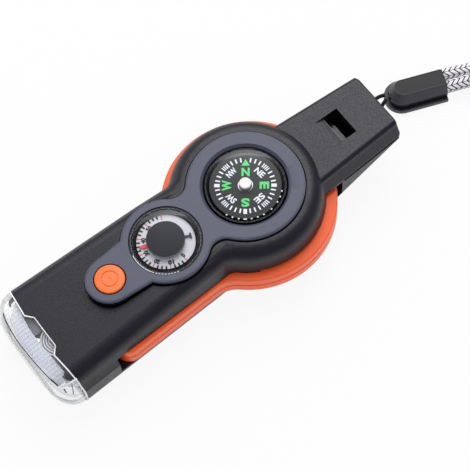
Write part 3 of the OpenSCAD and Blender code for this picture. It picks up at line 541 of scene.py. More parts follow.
# The same white serves the printed marks and the painted reflections at the dials' rims.
white_ink_and_painted_glint = ink("white_ink_and_painted_glint", srgb(244, 244, 244), mottle=0.03)
ink_green = ink("ink_green", srgb(92, 222, 120))
ink_black = ink("ink_black", srgb(28, 28, 30))
ink_red = ink("ink_red", srgb(232, 96, 104))
# The lens lines, the cap's raised line and the blade's edge are painted shade and painted highlights.
painted_shade_line = edge_tone("painted_shade_line", srgb(30, 30, 38), 0.3)
painted_ridge_highlight = edge_tone("painted_ridge_highlight", srgb(70, 70, 74), 0.42)
painted_highlight_line = edge_tone("painted_highlight_line", srgb(124, 124, 130))
fan_pale = edge_tone("fan_pale", srgb(140, 142, 150), mottle=0.05)


# %% [markdown]
# ## Metal
# Screws, contacts, the chromed reflector and the signal mirror. Brushed metal
# could use the Anisotropic socket, but what varies there isn't baked, so the
# brushing is a noise that is stretched into hairlines.

# %% Metal
def metal(name, colour, roughness, scratch=0.12):
    """Metal with fine hairlines along its length."""
    g = Finish(name, Metallic=1.0)
    stretched = g.node("ShaderNodeMapping", {}, {"Vector": g.place(), "Scale": (0.2, 4.0, 1.0)})
    lines = g.node("ShaderNodeTexNoise", {}, {"Vector": stretched, "Scale": 1500.0, "Detail": 2.0})
    g.set(Base_Color=g.blend(lines, tuple(c * 0.85 for c in colour), colour),
          Roughness=lines * scratch + roughness)
    g.bump(lines, 2e-6)
    return g.material


steel = metal("steel", (0.62, 0.62, 0.64), 0.28)
brass = metal("brass", (0.78, 0.58, 0.26), 0.25)
chrome = metal("chrome", (0.86, 0.87, 0.89), 0.06, 0.05)
mirror_silver = metal("mirror_silver", (0.9, 0.91, 0.93), 0.02, 0.02)


# %% [markdown]
# ## Clear plastic
# The two covers, the front lens and the magnifier. True glass bends the light
# and makes a renderer search for it through every wall, which leaves dark specks
# on small dials. These parts are thin, so light goes straight through here, and
# only the mirror image on the surface is worked out.

# %% Clear plastic
def clear(name, tint=(1, 1, 1), gloss=0.03, body=0.0, body_colour=(0.9, 0.92, 0.95), share=1.0):
    """Clear plastic: light passes straight through, and the surface mirrors by Fresnel's law.

    gloss is the mirror's roughness and share its strength. body adds that share of
    a milky surface, for thick plastic."""
    g = Finish(name, Roughness=0.25, IOR=1.5)
    smear = g.noise(60, 3)
    g.set(Base_Color=g.blend(smear, body_colour, tuple(c * 0.93 for c in body_colour)))
    mirror = g.node("ShaderNodeBsdfGlossy", {}, {"Color": (1, 1, 1), "Roughness": gloss})
    through = g.node("ShaderNodeBsdfTransparent", {}, {"Color": tint})
    skin = g.mix(g.node("ShaderNodeFresnel", {}, {"IOR": 1.45}) * share, through, mirror)
    milk = (smear * (body * 0.3) + body * 0.85).least(1.0)
    g.show(g.mix(milk, skin, g.principled()))
    return g.material


clear_cover = clear("clear_cover", tint=(0.98, 0.985, 1.0), gloss=0.45, share=0.14)
clear_lens = clear("clear_lens", tint=(0.985, 0.987, 0.995), gloss=0.1, share=0.6,
                   body=0.045, body_colour=(0.93, 0.94, 0.98))
# Painted highlights: a white surface for the bright edges and ribs in the lens.
painted_highlight_edge = clear("painted_highlight_edge", gloss=0.1, body=1.0, body_colour=(1.0, 1.0, 1.0))
clear_rim = clear("clear_rim", tint=(0.96, 0.97, 1), gloss=0.05, body=0.07)
emitter = clear("emitter", tint=(1, 0.98, 0.9), body=0.45, body_colour=(0.95, 0.93, 0.8))


# %% [markdown]
# ## The pale panel and the pointer
# Behind the front lens lies a pale panel with faint upright ribs. Its tone is
# painted light: darker at its near side and brighter towards its far end. The
# ribs could be modelled, but they are finer than a pixel, so a bump does it. The
# thermometer's pointer is one piece with two inks, and the colour changes at the
# middle of the dial.

# %% The pale panel and the pointer
POINTER_TURN = 157      # the pointer's direction at rest


def panel(name):
    """The pale panel in the lens: painted light in three tones along y, darker near and brighter far, and a
    rib every 1.1 mm.
    """
    g = Finish(name, IOR=1.45, Roughness=0.35)
    _, y, _ = g.axes(g.place())
    tone = g.blend(y.ramp(-0.0135, -0.009), srgb(206, 208, 216), srgb(238, 240, 248))
    tone = g.blend(y.ramp(0.0, 0.012), tone, srgb(255, 255, 255))
    ribs = (y * 900.0).part()
    g.set(Base_Color=g.blend(ribs.ramp(0.78, 0.95) * 0.15, tone, srgb(160, 162, 172)))
    g.bump(ribs.ramp(0.7, 1.0), 6e-5)
    return g.material


def two_inks(name):
    """The pointer: red towards its tip, black behind the middle of the dial.

    along = (p - centre) . (cos a, sin a) tells the two ends apart."""
    g = Finish(name, IOR=1.5, Specular_IOR_Level=0.4)
    x, y, _ = g.axes(g.place())
    a = math.radians(POINTER_TURN)
    along = (x - (SHIFT + DIAL[0]) / 1000) * math.cos(a) + y * math.sin(a)
    g.set(Base_Color=g.blend(along.ramp(-1e-4, 1e-4), srgb(22, 22, 24), srgb(236, 62, 50)),
          Roughness=g.noise(160, 3) * 0.1 + 0.3)
    return g.material


pointer_inks = two_inks("pointer_inks")
panel_white = panel("panel_white")


# %% [markdown]
# ## Braid and twist
# The neck cord is a round braid: columns of slanted strands that lean left and
# right by turns, with painted shade in the gaps between them. Modelled strands
# would cost a million triangles for a cord of this length, so the strands are
# drawn on the cord's own UV map, and a bump gives them their roundness. The
# string's strands wind round it like a rope's.

# %% Braid and twist
def braided(name):
    """Round braid: eight columns, and u counts them round the cord.

    A strand is fract(v n + lean u), and its height is a bow across its width."""
    g = Finish(name, IOR=1.45, Specular_IOR_Level=0.25, Sheen_Weight=0.15)
    u, v, _ = g.axes(g.place("UV"))
    column = u * 8.0
    side = column.part()
    lean = (column.whole() * 0.5).part() * 4.0 - 1.0
    strand = (v * 7.4 + lean * side * 0.95).part()
    across = 1.0 - (strand * 2.0 - 1.0).size()
    edge = 1.0 - (side * 2.0 - 1.0).size()
    lit = across.ramp(0.18, 0.4) * edge.ramp(0.02, 0.2)
    fibre = g.noise(5200, 3)
    thread = g.blend(fibre, srgb(216, 213, 214), srgb(252, 250, 252))
    # The gaps between strands get painted shade.
    g.set(Base_Color=g.blend(lit, srgb(20, 18, 22), thread), Roughness=fibre * 0.2 + 0.7)
    g.bump(across * edge * 0.8 + fibre * 0.2, 2.2e-4, 0.8)
    return g.material


def twisted(name):
    """Twisted string: strands that wind round it, at |2 fract(3 u + 1.6 v) - 1|."""
    g = Finish(name, IOR=1.45, Specular_IOR_Level=0.3)
    u, v, _ = g.axes(g.place("UV"))
    strand = ((u * 3.0 + v * 1.6).part() * 2.0 - 1.0).size()
    fibre = g.noise(6000, 3)
    g.set(Base_Color=g.blend(fibre, srgb(16, 15, 17), srgb(46, 44, 48)), Roughness=fibre * 0.2 + 0.65)
    g.bump(1.0 - strand, 1.2e-4, 0.8)
    return g.material


cord_braid = braided("cord_braid")
string_black = twisted("string_black")
print("finishes:", len(bpy.data.materials))

# %% [markdown]
# ## The neck cord
# The cord's two ends go into a small black cap. Its length past the picture's
# edge lies in a flat coil of two layers: the lower one winds in, the upper one
# winds out. A simulated rope would have to be run and kept with the file, so the
# route is a rule. In the cap's own frame (a along the cord, b across it) a turn
# of the coil is (a, b) = (COIL_A + r cos t, r sin t), and r falls from the outer
# radius to the inner one and grows again. The two leads between cap and coil
# follow listed points.

# %% The neck cord's route
CORD = 3.7                      # the cord's thickness
CAP = (67.7, -1.85)             # the end of the cap where the cord comes out
CAP_TURN = math.radians(159)    # the cap's direction, seen from above
CAP_H = 3.15                    # height of the cord's holes
COIL_A = -43.0                  # the coil's middle in the cap's frame
COIL_IN, COIL_OUT = 15.6, 26.2  # radii of the innermost and the outermost turn
COIL_START = -50                # the direction in which the coil begins
COIL_SWEEP = 2060               # degrees of winding in both layers together
LOW_H = CORD / 2                # the lower layer rests on the floor


def at_cap(points):
    """Turns points from the cap's frame by CAP_TURN and moves them to the cap."""
    p = np.asarray(points, float)
    c, s = math.cos(CAP_TURN), math.sin(CAP_TURN)
    return np.stack([CAP[0] + c * p[:, 0] - s * p[:, 1], CAP[1] + s * p[:, 0] + c * p[:, 1], p[:, 2]], -1)


def coil_points():
    """The two layers: r = in + (out - in) |t - middle| / middle, and h climbs at the middle."""
    t = np.radians(np.linspace(0, COIL_SWEEP, 220))
    middle = t[-1] / 2
    r = COIL_IN + (COIL_OUT - COIL_IN) * np.abs(t - middle) / middle
    climb = np.clip((t - middle) / math.radians(90) + 0.5, 0, 1)
    climb = climb * climb * (3 - 2 * climb)
    a = math.radians(COIL_START) - t
    return np.stack([COIL_A + r * np.cos(a), r * np.sin(a), LOW_H + CORD * climb], -1)


side_by = CORD / 2 + 0.03
plan = [(0, 0), (4, 0), (8, 0), (11.5, 0.6), (15, 3.2), (18.5, 7.8), (22, 13)]
low_h = [CAP_H, 2.95, 2.4, 2, LOW_H, LOW_H, LOW_H]
high_h = [CAP_H, CAP_H, CAP_H, 3.4, 3.9, 4.5, 5.1]
lead_out = [(6.0, -side_by, CAP_H)] + [(-a, -b - side_by, h) for (a, b), h in zip(plan, low_h)]
lead_home = [(-a, b + side_by, h) for (a, b), h in zip(plan, high_h)][::-1] + [(6.0, side_by, CAP_H)]
cord_m = lay(smooth_line(at_cap(np.vstack([lead_out, coil_points(), lead_home])), 1.15))
cord = link("neck_cord", tube("neck_cord", cord_m, CORD / 2000, 24), "whistle", cord_braid)
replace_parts(cord, "cord_lead_a", "cord_lead_b", "cord_coil")
print("neck cord", round(length_of(cord_m), 3), "m")

# %% [markdown]
# A short tie of black string holds the coil: three turns round all its layers,
# pressed flat on the floor. Three rings would do from far away, but a string is
# one line, so its path moves on by a millimetre with each turn.

# %% The tie round the coil
TIE_R = 0.45
tie_t = np.radians(np.linspace(0, 3 * 360, 90))
tie = np.stack([COIL_A - (COIL_IN + COIL_OUT) / 2 + 7.9 * np.cos(tie_t), np.linspace(-1.4, 1.4, 90),
                np.maximum(3.75 + 4.25 * np.sin(tie_t), TIE_R)], -1)
link("cord_tie", tube("cord_tie", lay(at_cap(tie)), TIE_R / 1000), "whistle", string_black)
print("tie", round(length_of(tie)), "mm")

# %% [markdown]
# ## The string
# A thin string ties the cap to the eye under the mouth end. In the picture it
# comes out of the eye, passes through the cap's nose and goes back, so its
# points are listed and a smooth curve runs through them.

# %% The string
STRING = 1.1
string_points = [(52, 5, 3.15), (50.2, 5.8, 2.5), (47.6, 5.7, 1.9), (45, 4.7, 2.6), (42.9, 3.6, 4.4),
                 (41.4, 2.6, 6.4), (40.5, 1.5, 7.3), (40.4, 0, 7.3), (40.5, -1.5, 7.3), (41.2, -2.3, 6.4),
                 (42.9, -1.9, 4.2), (45, -0.2, 2.2), (47.4, 2, 1.3), (49.7, 3.3, 1.6), (51.4, 3.6, 3.15)]
string_m = lay(smooth_line(string_points, 0.35))
string = link("string_loop_twist", tube("string_loop_twist", string_m, STRING / 2000, 14), "whistle",
              string_black)
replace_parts(string, "string_loop")
print("string", round(length_of(string_m), 4), "m")

# %% [markdown]
# ## The cap's raised line
# A thin line runs round the cap's level top, along two straight sides and a half
# circle at its nose. A bevel can't make a line that stands proud, so it is a
# tube that is half sunk in the cap. It is coloured lighter than the cap, a
# painted highlight.

# %% The cap's raised line
LINE_B = 2.35       # its distance from the cap's middle line
half_turn = np.radians(np.linspace(90, -90, 15))
nose = np.stack([12.1 + LINE_B * np.cos(half_turn), LINE_B * np.sin(half_turn), 0 * half_turn + CAP_TOP], -1)
ridge = np.vstack([[(0.6, LINE_B, CAP_TOP), (5, LINE_B, CAP_TOP)], nose,
                   [(5, -LINE_B, CAP_TOP), (0.6, -LINE_B, CAP_TOP)]])
seam("cap_ridge", at_cap(ridge), 0.14, painted_ridge_highlight)
print("raised line", round(length_of(ridge), 1), "mm")


# %% [markdown]
# ## Smooth copies of the moulded solids
# A CAD solid arrives as flat triangles that don't share corners, so smooth
# shading has nothing to work on. A copy with its corners merged can be shaded
# smoothly, with only the real edges kept sharp. The copy then stands for the
# solid, and lies exactly where it does.

# %% Smooth copies
def moulding(node, material, body="whistle", angle=28, round_edge=0.0, join=True):
    """A merged copy of a CAD solid, shaded smooth up to `angle`.

    join turns flat neighbours into single faces, which suits moulded walls; the
    round cups keep theirs. round_edge is the radius of a small bevel."""
    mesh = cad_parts[node].data.copy()
    mesh.name = node + "_skin"
    mesh.materials.clear()
    work = bmesh.new()
    work.from_mesh(mesh)
    bmesh.ops.remove_doubles(work, verts=work.verts, dist=2e-6)
    if join:
        bmesh.ops.dissolve_limit(work, angle_limit=math.radians(0.6), verts=work.verts, edges=work.edges)
    work.to_mesh(mesh)
    work.free()
    piece = link(node + "_skin", crisp(mesh, angle), body, material)
    if round_edge:
        bevel = piece.modifiers.new("edge", "BEVEL")
        bevel.width = round_edge / 1000
        bevel.segments = 2
        bevel.limit_method = "ANGLE"
        bevel.angle_limit = math.radians(angle + 10)
        bevel.harden_normals = True
        bevel.use_clamp_overlap = True
    else:
        weigh = piece.modifiers.new("weigh", "WEIGHTED_NORMAL")
        weigh.keep_sharp = True
    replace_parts(piece, node)
    return piece


# %% [markdown]
# The case halves have their roundings in the CAD model. The face plate, the two
# leaves and the button get a small bevel here, because their real edges are
# just soft enough to catch a line of light.

# %% Case, plate, leaves and button
moulding("top_shell", case_black)
moulding("bottom_shell", case_black)
moulding("face_plate", plate_grey, round_edge=0.3)
moulding("magnifier_leaf", leaf_orange, "magnifier", round_edge=0.4)
moulding("mirror_leaf", leaf_orange, "mirror", round_edge=0.4)
moulding("light_button", button_orange, "button", round_edge=0.45)
moulding("cap_base", case_black)
moulding("cap_cover", cap_black)
moulding("shell_screws", steel)

# %% [markdown]
# The cups of both dials, the front lens, the magnifier and the mirror get no
# bevel. The two cups are round, and their narrow faces stay apart, which keeps
# the shading of their walls even.

# %% Cups, lens, mirror and reflector
moulding("compass_cup", housing_black, join=False)
moulding("thermometer_cup", housing_black, join=False)
moulding("thermometer_disc", disc_grey, "pointer")
moulding("front_lens", clear_lens)
moulding("reflector_bezel", holder_grey)
moulding("reflector", chrome)
moulding("magnifier_lens", clear_cover, "magnifier")
moulding("signal_mirror", mirror_silver, "mirror")


# %% [markdown]
# ## Clear covers and compass boss
# Light shows every flat on a clear dome, and the CAD domes are made of flats. So
# the two covers and the cream boss on the compass card are turned again in the
# same places, with many more steps.

# %% Clear covers and compass boss
def dome(node, centre, r, low, edge, rise, wall):
    """A clear dome with an even wall, on a straight rim from `low` to `edge`.

    Its ball passes through the edge and the top: R = (r^2 + rise^2) / (2 rise)."""
    ball = (r * r + rise * rise) / (2 * rise)
    mid = (0, edge + rise - ball)
    outer = bow(mid, ball, math.degrees(math.acos(r / ball)), 90, 24)
    inner = bow(mid, ball - wall, 90, math.degrees(math.acos((r - wall) / (ball - wall))), 24)
    profile = [(r - wall, low), (r, low)] + outer + inner + [(r - wall, low)]
    mesh = lathe(node + "_skin", profile, centre, 128, 40)
    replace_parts(link(node + "_skin", mesh, "whistle", clear_cover), node)


DIAL_COVER_R = 9.2
CARD_TOP = PLATE_TOP - 0.6
BOSS_R = 1.7
dome("compass_dome", COMPASS, r=10.9, low=20.0, edge=20.4, rise=2.1, wall=0.45)
dome("thermometer_window", DIAL, r=DIAL_COVER_R, low=20.1, edge=PLATE_TOP, rise=2.0, wall=0.4)
boss = [(0, CARD_TOP), (BOSS_R, CARD_TOP), (BOSS_R, BOSS_TOP - 0.5), (BOSS_R - 0.14, BOSS_TOP - 0.46)] \
    + bow((BOSS_R - 0.3, BOSS_TOP - 0.16), 0.16, 0, 90, 5) \
    + [(BOSS_R - 0.4, BOSS_TOP - 0.04), (0, BOSS_TOP - 0.04)]
boss_mesh = lathe("compass_boss_skin", boss, COMPASS, 64)
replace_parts(link("compass_boss_skin", boss_mesh, "compass_card", boss_cream), "compass_boss")
print("boss", len(boss_mesh.polygons), "faces")


# %% [markdown]
# ## Printed marks
# Both dials are printed. An image texture would blur close up, so each mark is
# an outline in its dial's plane, raised by a few hundredths of a millimetre. It
# is drawn upright, (across, outwards), then moved out by `away` and turned to
# its angle: p = out (cos a, sin a) + across (sin a, -cos a).

# %% A press for printed marks
class Print:
    """Collects the marks of one ink on one dial and makes them a single thin piece."""

    def __init__(self, centre, height, thick=0.04):
        self.centre, self.height, self.thick = centre, height, thick
        self.points, self.faces = [], []

    def add(self, flat, faces, angle, away):
        """Adds points (across, outwards, 0..1 of the thickness) and their faces."""
        a = math.radians(angle)
        out, across = flat[:, 1] + away, flat[:, 0]
        first = len(self.points)
        self.points += np.stack([self.centre[0] + out * math.cos(a) + across * math.sin(a),
                                 self.centre[1] + out * math.sin(a) - across * math.cos(a),
                                 self.height + self.thick * flat[:, 2]], -1).tolist()
        self.faces += [[first + k for k in face] for face in faces]

    def shape(self, outline, angle, away=0.0):
        """A flat mark with any outline."""
        n = len(outline)
        flat = np.array([[x, y, z] for z in (0, 1) for x, y in outline])
        sides = [[k, (k + 1) % n, n + (k + 1) % n, n + k] for k in range(n)]
        self.add(flat, [list(range(n))[::-1], list(range(n, 2 * n))] + sides, angle, away)

    def bar(self, width, r_from, r_to, angle):
        """A tick from one radius to another."""
        w = width / 2
        self.shape([(-w, r_from), (w, r_from), (w, r_to), (-w, r_to)], angle)

    def letters(self, text, width, height, angle, away, bold=0.02):
        """Letters stretched to a box of width by height, centred `away` from the middle."""
        curve = bpy.data.curves.new("letters", "FONT")
        curve.body = text
        curve.offset = bold
        curve.extrude = 0.5
        curve.resolution_u = 4
        piece = bpy.data.objects.new("letters", curve)
        scene.collection.objects.link(piece)
        ready = piece.evaluated_get(bpy.context.evaluated_depsgraph_get())
        mesh = bpy.data.meshes.new_from_object(ready)
        p = np.empty(len(mesh.vertices) * 3)
        mesh.vertices.foreach_get("co", p)
        p = p.reshape(-1, 3)
        low, high = p.min(0), p.max(0)
        flat = (p - (low + high) / 2) / (high - low) * (width, height, 1) + (0, 0, 0.5)
        self.add(flat, [list(f.vertices) for f in mesh.polygons], angle, away)
        bpy.data.objects.remove(piece)
        bpy.data.curves.remove(curve)
        bpy.data.meshes.remove(mesh)

    def done(self, name, finish, body):
        """Makes the piece. Its points go through `row` like everything else."""
        mesh = bpy.data.meshes.new(name)
        mesh.from_pydata(lay(self.points).tolist(), [], self.faces)
        print(name, len(self.faces), "faces")
        return link(name, outward(mesh), body, finish)


# %% [markdown]
# The compass card reads clockwise from its north mark, which lies NORTH degrees
# from the whistle's length. Each quadrant has six ticks, a close group of four
# in its middle, and a broad tick at its letter. North has an arrowhead instead.
# The quadrants differ only in their letters, so a loop prints all four.

# %% The compass card's print
NORTH = 52.5
TICK_IN, TICK_OUT = 6.85, 8.15
white = Print(COMPASS, CARD_TOP)
green = Print(COMPASS, CARD_TOP)
for quadrant, letter, wide, pair in ((0, "N", 2.2, "NE"), (1, "E", 2.1, "SE"),
                                     (2, "S", 2.2, "SW"), (3, "W", 3.1, "NW")):
    at = NORTH - 90 * quadrant
    for turn in (10, 20, 30, 60, 70, 80):
        white.bar(0.4, TICK_IN, TICK_OUT, at - turn)
    for turn in (38.7, 42.9, 47.1, 51.3):
        white.bar(0.29, TICK_IN, TICK_OUT, at - turn)
    white.letters(pair, 2.95, 1.75, at - 45, 5.3, 0.03)
    if quadrant:
        white.bar(0.95, TICK_IN, TICK_OUT + 0.15, at)
        green.letters(letter, wide, 2.5, at, 5.0, 0.045)
    else:
        green.letters(letter, wide, 2.5, at, 3.95, 0.045)
        green.shape([(-1.1, 5.8), (1.1, 5.8), (0, 7.75)], at)
white.done("card_marks_white", white_ink_and_painted_glint, "compass_card")
green.done("card_marks_green", ink_green, "compass_card")

# %% [markdown]
# The thermometer's scale has 25 marks, 9 degrees apart: every fourth one is a
# thin red line, the others are short black dots. The numbers stand inside it,
# 36 degrees apart.

# %% The thermometer's print
DIAL_TOP = PLATE_TOP - 1.2
black = Print(DIAL, DIAL_TOP)
red = Print(DIAL, DIAL_TOP)
for k in range(25):
    if k % 4:
        black.bar(0.48, 6.85, 7.82, 64 + 9 * k)
    else:
        red.bar(0.26, 6.5, 7.8, 64 + 9 * k)
for k in range(6):
    number = str(10 * k)
    black.letters(number, 0.8 * len(number), 1.3, -77 - 36 * k, 5.95, 0.06)
black.done("dial_marks_black", ink_black, "whistle")
red.done("dial_marks_red", ink_red, "whistle")

# %% [markdown]
# ## Glints at the rims
# The clear walls of both capsules mirror the marks beside them. The covers here
# mirror only weakly, to keep the dials clean, so small white strokes in the
# white ink stand for that image, along the near side of each dial: they are
# painted reflections.

# %% Glints at the rims
glints = Print(COMPASS, CARD_TOP + 0.03, 0.03)
for quadrant in range(4):
    for turn in (0, 10, 20, 30, 45, 60, 70, 80):
        at = (NORTH - 90 * quadrant - turn + 180) % 360 - 180
        if -172 < at < -45:
            glints.bar(0.42 if turn else 0.9, 9.6, 9.95, at)
glints.done("compass_glints", white_ink_and_painted_glint, "whistle")
glints = Print(DIAL, 20.11, 0.03)
for k in range(7):
    glints.bar(1.05, 9.3, 9.53, 172 + 6 * k)
for k in range(9):
    glints.bar(0.5, 9.3, 9.53, -146 + 5 * k)
glints.done("dial_glints", white_ink_and_painted_glint, "whistle")

# %% [markdown]
# ## Two thin rings
# A metal ring lies round the foot of the compass boss, and the thermometer's
# cover ends in a round rim. A torus primitive would do for the second one, but
# both are profiles like the domes, so the lathe turns them.

# %% Two thin rings
ring = [(r, CARD_TOP + rise) for r, rise in ((1.8, 0.02), (2.1, 0.02), (2.1, 0.08),
                                             (1.98, 0.16), (1.8, 0.16), (1.8, 0.02))]
link("boss_ring", lathe("boss_ring", ring, COMPASS, 64), "compass_card", steel)
rim = lathe("thermometer_rim", bow((DIAL_COVER_R, PLATE_TOP - 0.28), 0.13, 0, 360, 13), DIAL, 120, 180)
link("thermometer_rim", rim, "whistle", clear_rim)
print("rings", len(rim.polygons), "faces in the rim")

# %% [markdown]
# ## The bead of the front lens
# Where the lens meets the case, its edge shows a bright line, drawn as a white
# painted highlight. The line follows the case's cross-section, (|y|, h), and at
# each point it lies at the case's end, which is cut back in the middle of the
# top. The section is worked out from the same sizes as the case, so one list
# serves both sides.

# %% The bead of the front lens
BELLY_R, SHOULDER_R = 4.0, 4.4      # roundings of the barrel, below and above
DRAFT = 1.2                         # the wall leans in by this much on its way up
LEVEL_TO_X, CASE_END_X = -26.1, -66.7
CASE_TOP, SLOPE = 19.5, 3.0


def case_top(x):
    """Height of the case's top: level to LEVEL_TO_X, then it falls by SLOPE to the lamp end."""
    return CASE_TOP - SLOPE * np.maximum(0.0, (LEVEL_TO_X - x) / (LEVEL_TO_X - CASE_END_X))


def half_section(x):
    """The case's right half at x, from the belly over the wall to the shoulder.

    Its half width grows from 15.4 at x = -20 by 1.8 for every 40 towards the lamp."""
    w = 15.4 + 1.8 * (-20 - x) / 40
    shoulder = (w - DRAFT - SHOULDER_R, case_top(x) - SHOULDER_R)
    return bow((w - BELLY_R, BELLY_R), BELLY_R, -90, 0, 8) + [(w, 9.0)] + bow(shoulder, SHOULDER_R, 0, 90, 10)


def end_x(y):
    """Where the case ends at the lamp, cut back in the middle."""
    return np.interp(np.abs(y), [0, 4.8, 6.9, 14.5, 19.2], [-65.0, -65.0, -66.7, -66.0, -65.0])


wall = half_section(-65.8)[3:]
across = np.array(wall + [(y, wall[-1][1]) for y in (10, 8, 6.9, 6.2, 5.5, 4.8, 2.4)])
over = np.vstack([across, [(0, wall[-1][1])], across[::-1] * (-1, 1)])
bead = np.stack([end_x(over[:, 0]) - 0.12, over[:, 0], over[:, 1] - 0.12], -1)
seam("lens_bead", bead, 0.18, painted_highlight_edge)
print("bead", round(length_of(bead), 1), "mm")

# %% [markdown]
# ## The pale panel in the lens
# Inside the front lens a pale panel shines through its top, in front of the
# grey holder. Each row of the panel runs from its back edge to its front edge,
# x(u) = back + (front - back) u, a little below the lens's own sloping top. Both
# edges are read from the picture, a few points each.

# %% The pale panel in the lens
PANEL_DROP = 1.55           # below the case's top line
y = np.linspace(-13.4, 14.2, 29)[:, None]
u = np.linspace(0, 1, 9)[None, :]
back_x = np.interp(y, [-13.4, -11.1, -7.7, -3.3, 0.4, 3.7, 7.4, 11, 12.6, 14.2],
                   [-66.9, -67.2, -67.4, -67.7, -67.8, -67.8, -67.2, -66.4, -65.8, -65.5])
front_x = np.interp(y, [-13.4, -10.7, -6.5, -1, 4.6, 10, 12.6, 14.2],
                    [-70.2, -71.0, -71.4, -71.7, -71.7, -71.0, -70.2, -69.0])
x = back_x + (front_x - back_x) * u
h = case_top(x) - PANEL_DROP - 0.5 * u ** 3 - 0.9 * (np.abs(y) / 13) ** 4
link("lens_panel", grid_mesh("lens_panel", row(x, y, h)), "whistle", panel_white)
print("panel", round(float(x.max() - x.min()), 1), "mm deep")

# %% [markdown]
# ## Lines in the lens
# The lens has ribs and folds inside, and they show as dark and bright lines. A
# true inner shape would need a lens that bends light, so the lines themselves
# are drawn, each as a thin round line through a few points: the dark ones are
# painted shade and the bright one is a painted highlight.

# %% Lines in the lens
seam("lens_front_line", [(-70.55, -13.6, 14.3), (-71.26, -11.3, 15.5), (-71.74, -7.3, 15.9),
                         (-72.1, -1.7, 15.85), (-72.1, 3.8, 15.85), (-71.4, 9.2, 15.95),
                         (-70.8, 11.2, 15.9)], 0.13, painted_shade_line)
seam("lens_front_end", [(-71.2, -11.2, 15.55), (-70.95, -12.3, 15.1), (-70.6, -13.5, 14.45)], 0.2, painted_shade_line)
seam("lens_near_seam", [(-65.7, -15.1, 15.15), (-68.0, -14.8, 14.7), (-70.4, -14.1, 13.7)], 0.22, painted_highlight_edge)
seam("lens_rib_a", [(-67.6, -15.4, 14.1), (-68.0, -16.0, 12.0), (-68.4, -16.3, 10.2)], 0.12, painted_shade_line)
seam("lens_rib_b", [(-66.05, -16.9, 10.3), (-66.05, -17.3, 8.5), (-66.1, -17.3, 6.9)], 0.12, painted_shade_line)
seam("lens_rib_c", [(-69.8, -14.8, 13.3), (-69.75, -15.1, 12.3), (-69.7, -15.3, 11.6)], 0.16, painted_shade_line)

# %% [markdown]
# Beside the panel a fan of bright ribs stands on a pale floor, and a dark post
# closes the near corner. The ribs are white painted highlights. They are arcs
# about one point with falling radii, so a loop draws them. The post is an
# outline that is given some height.

# %% Fan and post in the lens
FAN = (-63.6, -3.1)
FAN_SWEEP = np.radians(np.linspace(112, 240, 24))
POST_LOW, POST_HIGH = 14.3, 14.6


def fan_points(r, h):
    """Points on an arc of the fan: FAN + r (cos a, sin a), at height h."""
    x, y = FAN[0] + r * np.cos(FAN_SWEEP), FAN[1] + r * np.sin(FAN_SWEEP)
    return np.stack(np.broadcast_arrays(x, y, h), -1)


for k in range(4):
    seam("fan_%d" % k, fan_points(4.3 - 0.7 * k, 14.62), 0.2, painted_highlight_edge)
fan_floor = grid_mesh("fan_floor", lay(fan_points(np.linspace(0.9, 4.6, 4)[:, None], 14.45)))
link("fan_floor", fan_floor, "whistle", fan_pale)
post = [(-67.5, -11.6), (-67.95, -13.4), (-67.2, -14.3), (-65.85, -14.6), (-66.3, -12.0)]
both = [[(*corner, h) for corner in post] for h in (POST_LOW, POST_HIGH)]
link("lens_post", outward(grid_mesh("lens_post", lay(both), closed=True, capped=True)), "whistle",
     housing_black)
print("fan floor", len(fan_floor.polygons), "faces")

# %% [markdown]
# ## Two lines on the neck
# The two halves of the case meet along the neck in a fine dark joint, and the
# blade in the whistle's window has a bright edge, which is a painted highlight.
# Both could be cut into the model, but they are finer than the rest of its
# detail, so each is a thin round line, partly sunk in the surface.

# %% Two lines on the neck
JOINT_H, BLADE_H = 12.2, 16.95
seam("neck_line", [(23.9, -12.24, JOINT_H), (31, -11.84, JOINT_H), (38, -11.44, JOINT_H),
                   (43.5, -11.12, JOINT_H)], 0.16, housing_black)
seam("window_edge", [(29.15, 3.9, BLADE_H), (29.2, 0.3, BLADE_H), (29.15, -4.5, BLADE_H)], 0.08,
     painted_highlight_line)
print("lines on the neck at", JOINT_H, "and", BLADE_H, "mm")

# %% [markdown]
# ## Pieces that keep their CAD shape
# The card, the white dial and the pointer are flat and need no smooth copy, and
# the rest stays hidden inside. The solids of the cords are replaced above. All
# of them only get a finish.

# %% Pieces that keep their CAD shape
plain = {"closing_plate": case_black, "compass_pivot": brass, "compass_card": card_grey,
         "thermometer_dial": dial_white, "thermometer_coil": brass, "thermometer_pointer": pointer_inks,
         "switch_board": board_green, "tact_switch": steel, "switch_wires": wire_red,
         "led_board": board_green, "led": emitter, "cell_1": steel, "cell_2": steel, "cell_3": steel,
         "cell_contacts": brass, "leaf_pin": steel, "string_loop": string_black,
         "cord_lead_a": cord_braid, "cord_lead_b": cord_braid, "cord_coil": cord_braid}
for node, material in plain.items():
    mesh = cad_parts[node].data
    mesh.materials.clear()
    mesh.materials.append(material)
print("plain finishes:", len(plain))


# %% [markdown]
# ## The lamps
# The picture's light comes from behind the whistle, high up: the near walls of
# the case lie in soft shade. A large round lamp does that, and a weak low one,
# behind on the left, draws the far edges. Spot lamps would leave hard shadows.

# %% The lamps
def area_lamp(name, place_m, target, size, power):
    """A round lamp that faces a target: its -Z is turned to the line between them."""
    lamp = bpy.data.objects.new(name, bpy.data.lights.new(name, "AREA"))
    lamp.data.shape = "DISK"
    lamp.data.size = size
    lamp.data.energy = power
    scene.collection.objects.link(lamp)
    lamp.location = place_m
    lamp.rotation_euler = (Vector(target) - Vector(place_m)).to_track_quat("-Z", "Y").to_euler()


middle_m = (0.0, 0.0, 0.012)
area_lamp("over", (0.48, 0.53, 0.95), middle_m, size=1.15, power=10.2)
area_lamp("rim", (-0.45, 0.95, 0.28), middle_m, size=0.7, power=1.6)
print("lamps:", len(bpy.data.lights))

# %% [markdown]
# ## The world
# The background is pure white, but a white room would wash the black case out.
# So the world has three strengths: white for the camera, also through the clear
# parts, a soft light for diffuse surfaces, and a dim one for mirror images.

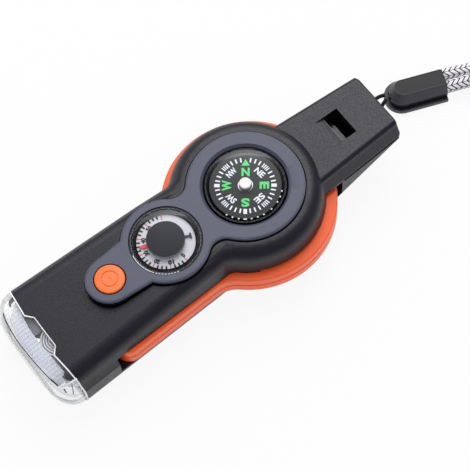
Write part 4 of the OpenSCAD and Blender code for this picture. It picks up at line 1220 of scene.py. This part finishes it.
# %% The world
world = bpy.data.worlds.new("studio")
scene.world = world
world.use_nodes = True
world.node_tree.nodes.clear()
air = Graph(world.node_tree)


def sky(colour, strength):
    """One plain background shader."""
    return air.node("ShaderNodeBackground", {}, {"Color": colour, "Strength": strength})


def ray(kind):
    """1 for light paths of one kind, such as "Is Camera Ray", and 0 for others."""
    return air.node("ShaderNodeLightPath", out=kind)


mirrored = sky((0.95, 0.95, 1.0), 0.12)
soft = sky((0.95, 0.95, 1.0), 0.72)
white_sky = sky((1, 1, 1), 1.0)
light = air.mix(ray("Is Diffuse Ray"), mirrored, soft)
seen = ray("Is Camera Ray").most(ray("Is Transmission Ray"))
air.node("ShaderNodeOutputWorld", {}, {"Surface": air.mix(seen, light, white_sky)})
print("world nodes:", len(air.tree.nodes))

# %% [markdown]
# ## The floor
# The floor is white but for a faint shadow. To the camera and in mirror images
# nine tenths of it or more is plain white glow, which keeps the shadow faint. To
# the light that it throws back on the whistle it stays a plain pale floor. It
# lies 0.2 mm below the whistle's foot, so that the two surfaces never touch.

# %% The floor
FLOOR_HALF, FLOOR_Z = 4.0, -0.0002      # in metres
reach = np.array([-FLOOR_HALF, FLOOR_HALF])
corners = np.stack(np.broadcast_arrays(reach[None, :], reach[:, None], FLOOR_Z), -1)
floor = bpy.data.objects.new("floor", grid_mesh("floor", corners))
scene.collection.objects.link(floor)
floor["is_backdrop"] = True
g = Finish("floor_white", Base_Color=(0.78, 0.78, 0.8), Roughness=0.9, Specular_IOR_Level=0.1)
glow = g.node("ShaderNodeEmission", {}, {"Color": (1, 1, 1), "Strength": 1.0})
for_camera = g.node("ShaderNodeLightPath", out="Is Camera Ray") * 0.9
for_mirrors = g.node("ShaderNodeLightPath", out="Is Glossy Ray") * 0.95
g.show(g.mix(for_camera + for_mirrors, g.principled(), glow))
floor.data.materials.append(g.material)
scene.view_settings.view_transform = "Standard"
print("floor", 2 * FLOOR_HALF, "m wide")

# %% [markdown]
# ## The scene's box
# The box round every shown piece, the dressed ones and the CAD ones that stay,
# is measured and printed. The dressed whistle has to fit the CAD model's box.

# %% Sizes
print("scene box", box_as_lists())
